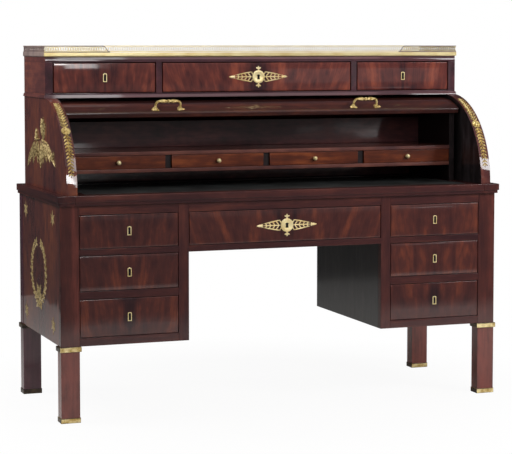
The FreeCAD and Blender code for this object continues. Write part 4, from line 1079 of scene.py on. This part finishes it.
bailMeshes = []
for x in (-bailX, bailX):
    place = axes(fromPolar(x, shellOuter, footAngle), right, arcAxes(footAngle)[1])
    turned = place.to_3x3()
    out = turned @ Vector((0, 0, 1))
    solid = bmesh.new()
    rod(solid, bailStations(), bail["sides"], place)
    spots = []
    for side in (-1, 1):
        foot = place @ Matrix.Translation((side * bail["foot"] * mm, 0, 0))
        spin(solid, footTurn, bail["footSides"], foot)
        root = foot @ Vector((0, 0, bail["leafLift"] * mm))
        for turn, length, width in bail["leaves"]:
            turn = math.radians(turn)
            along = turned @ Vector((-side * math.cos(turn), math.sin(turn), 0))
            spots.append((root, along, out, fromMm((length, width, bail["leafHeight"]))))
    bailMeshes += [solidMesh("bail", solid), instances("foot leaves", spots, castLeaf, giltBronze)]
finishPiece(
    "fall_bails", joined("fall bails", *bailMeshes), giltBronze, "fall", ["cylinder_handles"],
    bail["smooth"])

# Turned knobs of the small drawers
knob = {"sides": 24, "smooth": 60.0}  # number, degrees
knobTurn = [
    (0, 0), (5.6, 0), (5.8, 1.2), (3.2, 2.2), (2.8, 3.4), (5.2, 4.6), (7.4, 7.2), (8.1, 10.0), (7.5, 13.0),
    (5.6, 15.6), (2.8, 17.0), (0, 17.4)]
for drawer in smallDrawers:
    low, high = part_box(drawer + "_knob")
    place = axes(((low.x + high.x) / 2, high.y, (low.z + high.z) / 2), *frontAxes)
    solid = bmesh.new()
    spin(solid, knobTurn, knob["sides"], place)
    finishPiece(
        drawer + "_turned_knob", solidMesh("knob", solid), mountBrass, drawer, [drawer + "_knob"],
        knob["smooth"])
print("handles and knobs set")

# Gallery: two rails with a lattice of thin crossed bars between them, on a brass moulding
gallery = {  # mm; bars start and end at shares of the two rails' heights
    "cell": 9.0, "bar": 1.5, "thick": 1.4, "lowRail": 3.2, "topRail": 3.0, "railThick": 2.4, "barFoot": 0.8,
    "barHead": 0.5, "shortestBar": 3.0, "ogee": 24.0, "ogeeSteps": 60, "returnLong": 500.0, "easing": 0.5,
    "smooth": 40.0}
galleryRuns = splitSolids("top_gallery")
brassMeshes, shadeMeshes = [], []
for faces, meshes in zip(galleryRuns[:3], (brassMeshes, shadeMeshes, shadeMeshes)):  # front, then the two ends, which get painted shade
    meshes.append(solidMesh("moulding", easedSolid(faces, gallery["easing"])))


def latticeCell():  # a cross of two bars, in a cell one unit wide and high
    solid = bmesh.new()
    bar = gallery["bar"] / gallery["cell"] / 2
    for flip in (1, -1):
        corners = [(-0.5, 0), (-0.5 + 2 * bar, 0), (0.5, 1), (0.5 - 2 * bar, 1)]
        front, back = [[solid.verts.new((flip * x, side * 0.5, z)) for x, z in corners] for side in (-1, 1)]
        solid.faces.new(front)
        solid.faces.new(back[::-1])
        for i in range(4):
            solid.faces.new((front[i - 1], front[i], back[i], back[i - 1]))
    return partObject("lattice cell", solid)


def strip(solid, path, side, height):  # a rail of one height along a path of points
    thick = gallery["railThick"] * mm
    rings = []
    for point in path:
        inner, outer = point - side * thick / 2, point + side * thick / 2
        up = Vector((0, 0, height))
        rings.append([solid.verts.new(c) for c in (inner, outer, outer + up, inner + up)])
    skin(solid, rings)


def topHeight(s, length, full, inwards):  # a return's top rail sweeps down to the moulding at its inner end
    if not inwards:
        return full
    fromEnd = (length - s) if inwards > 0 else s
    share = min(1, max(0, fromEnd / (gallery["ogee"] * mm)))
    return full * (share * share * (3 - 2 * share))


latticePart = latticeCell()
latticeSpots, endSpots = [], []
rails, shadeRails = bmesh.new(), bmesh.new()
lowRail, topRail = gallery["lowRail"] * mm, gallery["topRail"] * mm
for faces in galleryRuns[3:]:
    low, high = extent(Vector(c) for face in faces for c in face)
    isEnd = high.x - low.x <= high.y - low.y
    run, side = [Vector((0, 1, 0)), right] if isEnd else [right, Vector((0, 1, 0))]
    centre = (low + high) / 2
    length = high.y - low.y if isEnd else high.x - low.x
    isReturn = not isEnd and length < gallery["returnLong"] * mm
    isBack = not isEnd and not isReturn
    start = centre - run * length / 2
    start.z = low.z
    inwards = (1 if centre.x < 0 else -1) if isReturn else 0
    full = high.z - low.z - topRail
    # painted shade: the rails of the returns and ends, and the end lattice, are grey-brown brass
    railsHere = rails if isBack else shadeRails
    spotsHere = endSpots if isEnd else latticeSpots
    strip(railsHere, [start, start + run * length], side, lowRail)
    steps = gallery["ogeeSteps"] if isReturn else 1
    path = []
    for i in range(steps + 1):
        s = length * i / steps
        path.append(start + run * s + Vector((0, 0, topHeight(s, length, full, inwards))))
    strip(railsHere, path, side, topRail)
    count = round(length / (gallery["cell"] * mm))
    for i in range(count):
        s = length * (i + 0.5) / count
        rise = topHeight(s, length, full, inwards) - lowRail + topRail * gallery["barHead"]
        if rise > gallery["shortestBar"] * mm:
            place = start + run * s + Vector((0, 0, lowRail * gallery["barFoot"]))
            spotsHere.append((place, run, (0, 0, 1), (length / count, gallery["thick"] * mm, rise)))
brassMeshes += [solidMesh("rails", rails), instances("lattice", latticeSpots, latticePart, brass)]
shadeMeshes += [solidMesh("shade rails", shadeRails), instances("end lattice", endSpots, latticePart, galleryShadeBrass)]
finishPiece(
    "gallery_ends", joined("gallery ends", *shadeMeshes), galleryShadeBrass, "carcass", (), gallery["smooth"])
finishPiece(
    "pierced_gallery", joined("pierced gallery", *brassMeshes), brass, "carcass", ["top_gallery"],
    gallery["smooth"])

# Collars and shoes of the legs, with painted shade at the sides, underneath and on the back left leg
legBrass = {"easing": 2.0, "segments": 3, "smooth": 40.0, "under": -0.2}  # mm, degrees, then a normal's rise
legMeshes = []
for faces in splitSolids("leg_brasses"):
    legMeshes.append(solidMesh("leg brass", easedSolid(faces, legBrass["easing"], legBrass["segments"])))
collars = finishPiece(
    "leg_collars", joined("leg collars", *legMeshes), shoeBrass, "carcass", ["leg_brasses"],
    legBrass["smooth"])
# painted shade: sides, undersides and the back left leg's brasses are brown-black
secondFinish(
    collars, legShadeBrass,
    lambda face: abs(face.normal.x) > facing or face.normal.z < legBrass["under"] or isFarLeft(face))
print("gallery and leg brasses set")

# Studio: a white sheet on the floor of a dim room, soft light overhead and at the sides,
# and in front of the desk the panes, banks and strips that its polish mirrors
studio = {  # metres, colours and strengths
    "sheetLow": (-1.46, -2.6), "sheetHigh": (2.0, 2.8), "paper": "#d6d4d1", "frontShadeRun": 0.5,
    "shadowShare": 0.06, "shadowFrom": 0.7, "shadowTo": 1.3, "white": "#ffffff", "roomGlow": 0.2,
    "roomShine": 0.04}


# Matt white paper, lit evenly: white to the eye, with a faint shadow near the desk, and painted shade towards
# its front end
def studioFloor():
    material, tree, output = newMaterial("white paper floor")
    path = addNode(tree, "ShaderNodeLightPath")
    place = addNode(tree, "ShaderNodeTexCoord").outputs["Object"]
    away = addNode(tree, "ShaderNodeVectorMath", {0: place}, operation="LENGTH").outputs["Value"]
    fade = addNode(tree, "ShaderNodeMapRange", {
        "Value": away, "From Min": studio["shadowFrom"], "From Max": studio["shadowTo"],
        "To Min": 1 - studio["shadowShare"], "To Max": 1.0})
    share = addNode(tree, "ShaderNodeMath", {
        0: path.outputs["Is Camera Ray"], 1: fade.outputs[0]}, operation="MULTIPLY")
    depth = addNode(tree, "ShaderNodeSeparateXYZ", {0: place}).outputs["Y"]
    front = addNode(tree, "ShaderNodeMapRange", {  # painted shade: the paper darkens towards its front end, as if it lay in the dim room
        "Value": depth, "From Min": studio["sheetLow"][1],
        "From Max": studio["sheetLow"][1] + studio["frontShadeRun"]})
    tone = addNode(tree, "ShaderNodeVectorMath", {
        0: hexColour(studio["paper"])[:3], "Scale": front.outputs[0]}, operation="SCALE")
    paper = addNode(tree, "ShaderNodeBsdfDiffuse", {"Color": tone.outputs[0]})
    white = addNode(tree, "ShaderNodeEmission", {"Color": hexColour(studio["white"]), "Strength": 1.0})
    mix = addNode(tree, "ShaderNodeMixShader", {
        0: share.outputs[0], 1: paper.outputs[0], 2: white.outputs[0]})
    tree.links.new(mix.outputs[0], output.inputs["Surface"])
    mesh = bpy.data.meshes.new("floor")
    (x0, y0), (x1, y1) = studio["sheetLow"], studio["sheetHigh"]
    mesh.from_pydata([(x0, y0, 0), (x1, y0, 0), (x1, y1, 0), (x0, y1, 0)], [], [(0, 1, 2, 3)])
    mesh.materials.append(material)
    floor = bpy.data.objects.new("floor", mesh)
    scene.collection.objects.link(floor)


def studioWorld():  # white behind the desk, a dim room all round it
    world = bpy.data.worlds.new("white surround")
    scene.world = world
    world.use_nodes = True
    tree = world.node_tree
    tree.nodes.clear()
    path = addNode(tree, "ShaderNodeLightPath")
    colour = hexColour(studio["white"])
    white, glow, shine = [
        addNode(tree, "ShaderNodeBackground", {"Color": colour, "Strength": strength})
        for strength in (1.0, studio["roomGlow"], studio["roomShine"])]
    room = addNode(tree, "ShaderNodeMixShader", {
        0: path.outputs["Is Glossy Ray"], 1: glow.outputs[0], 2: shine.outputs[0]})
    mix = addNode(tree, "ShaderNodeMixShader", {
        0: path.outputs["Is Camera Ray"], 1: room.outputs[0], 2: white.outputs[0]})
    addNode(tree, "ShaderNodeOutputWorld", {"Surface": mix.outputs[0]})


# place and point looked at (None is straight back), width, height, radiance, whether it shows in polish
lamps = {  # metres
    "ceiling": ((0.0, -2.0, 3.3), (0.0, -2.0, 0.0), 7.0, 5.0, 0.4, True),
    "soft box": ((0.37, -3.3, 2.9), (0.37, 0.0, 1.0), 0.38, 1.2, 5.8, True),
    "second box": ((1.35, -3.3, 2.9), (1.35, 0.0, 1.0), 1.6, 1.2, 1.7, True),
    "front fill": ((1.4, -3.2, 2.3), (0.3, 0.0, 0.9), 1.2, 1.0, 4.6, False),
    "key": ((1.94, -1.9, 1.95), (0.4, 0.0, 0.8), 0.6, 0.6, 34.0, False),
    "left fill": ((-1.8, 0.1, 1.9), (-0.8, 0.0, 1.0), 0.9, 0.9, 12.5, False),
    "low bank": ((1.9, -5.4, 0.68), None, 3.4, 0.5, 0.12, True),
    "first pane": ((2.8, -5.35, 0.65), None, 0.19, 0.1, 0.6, True),
    "second pane": ((3.03, -5.35, 0.665), None, 0.17, 0.13, 0.6, True),
    "third pane": ((2.5, -5.35, 0.65), None, 0.2, 0.07, 0.45, True),
    "sill": ((2.98, -5.3, 0.595), None, 0.26, 0.02, 5.0, True),
    "frieze bank": ((2.75, -5.4, 1.08), None, 1.3, 0.26, 0.45, True),
    "cheek strip": ((0.45, -5.0, 2.08), None, 0.19, 1.04, 24.0, True),
    "right strip": ((3.45, -5.0, 2.72), None, 0.5, 1.54, 15.0, True),
    "frieze strip": ((0.65, -5.0, 1.85), None, 0.24, 1.2, 9.0, True)}
lampTints = {"second box": "#ffc9ce"}  # the others are white


def studioLamps():
    for name, (place, target, width, height, radiance, shows) in lamps.items():
        light = bpy.data.lights.new(name, "AREA")
        light.shape = "RECTANGLE"
        light.size, light.size_y = width, height
        light.energy = radiance * math.pi * width * height
        light.color = hexColour(lampTints.get(name, studio["white"]))[:3]
        lamp = bpy.data.objects.new(name, light)
        lamp.location = place
        target = Vector(target or (place[0], 0.0, place[2]))
        lamp.rotation_euler = (target - Vector(place)).to_track_quat("-Z", "Y").to_euler()
        lamp.visible_camera = False
        lamp.visible_glossy = shows
        scene.collection.objects.link(lamp)


camera = {  # metres, degrees, mm, and a share of the width
    "place": (-2.2761, -6.1518, 1.2728), "turn": 20.2595, "tilt": 4.1665, "lens": 127.3457, "sensor": 36.0,
    "shift": -0.1}


def photoCamera():  # fitted to the desk's corners in the photograph
    data = bpy.data.cameras.new("photo camera")
    data.sensor_width = camera["sensor"]
    data.lens = camera["lens"]
    data.shift_y = camera["shift"]
    eye = bpy.data.objects.new("photo camera", data)
    eye.location = camera["place"]
    eye.rotation_euler = (math.radians(90 - camera["tilt"]), 0, math.radians(-camera["turn"]))
    scene.collection.objects.link(eye)
    scene.camera = eye


studioFloor()
studioWorld()
studioLamps()
photoCamera()
print("studio set")
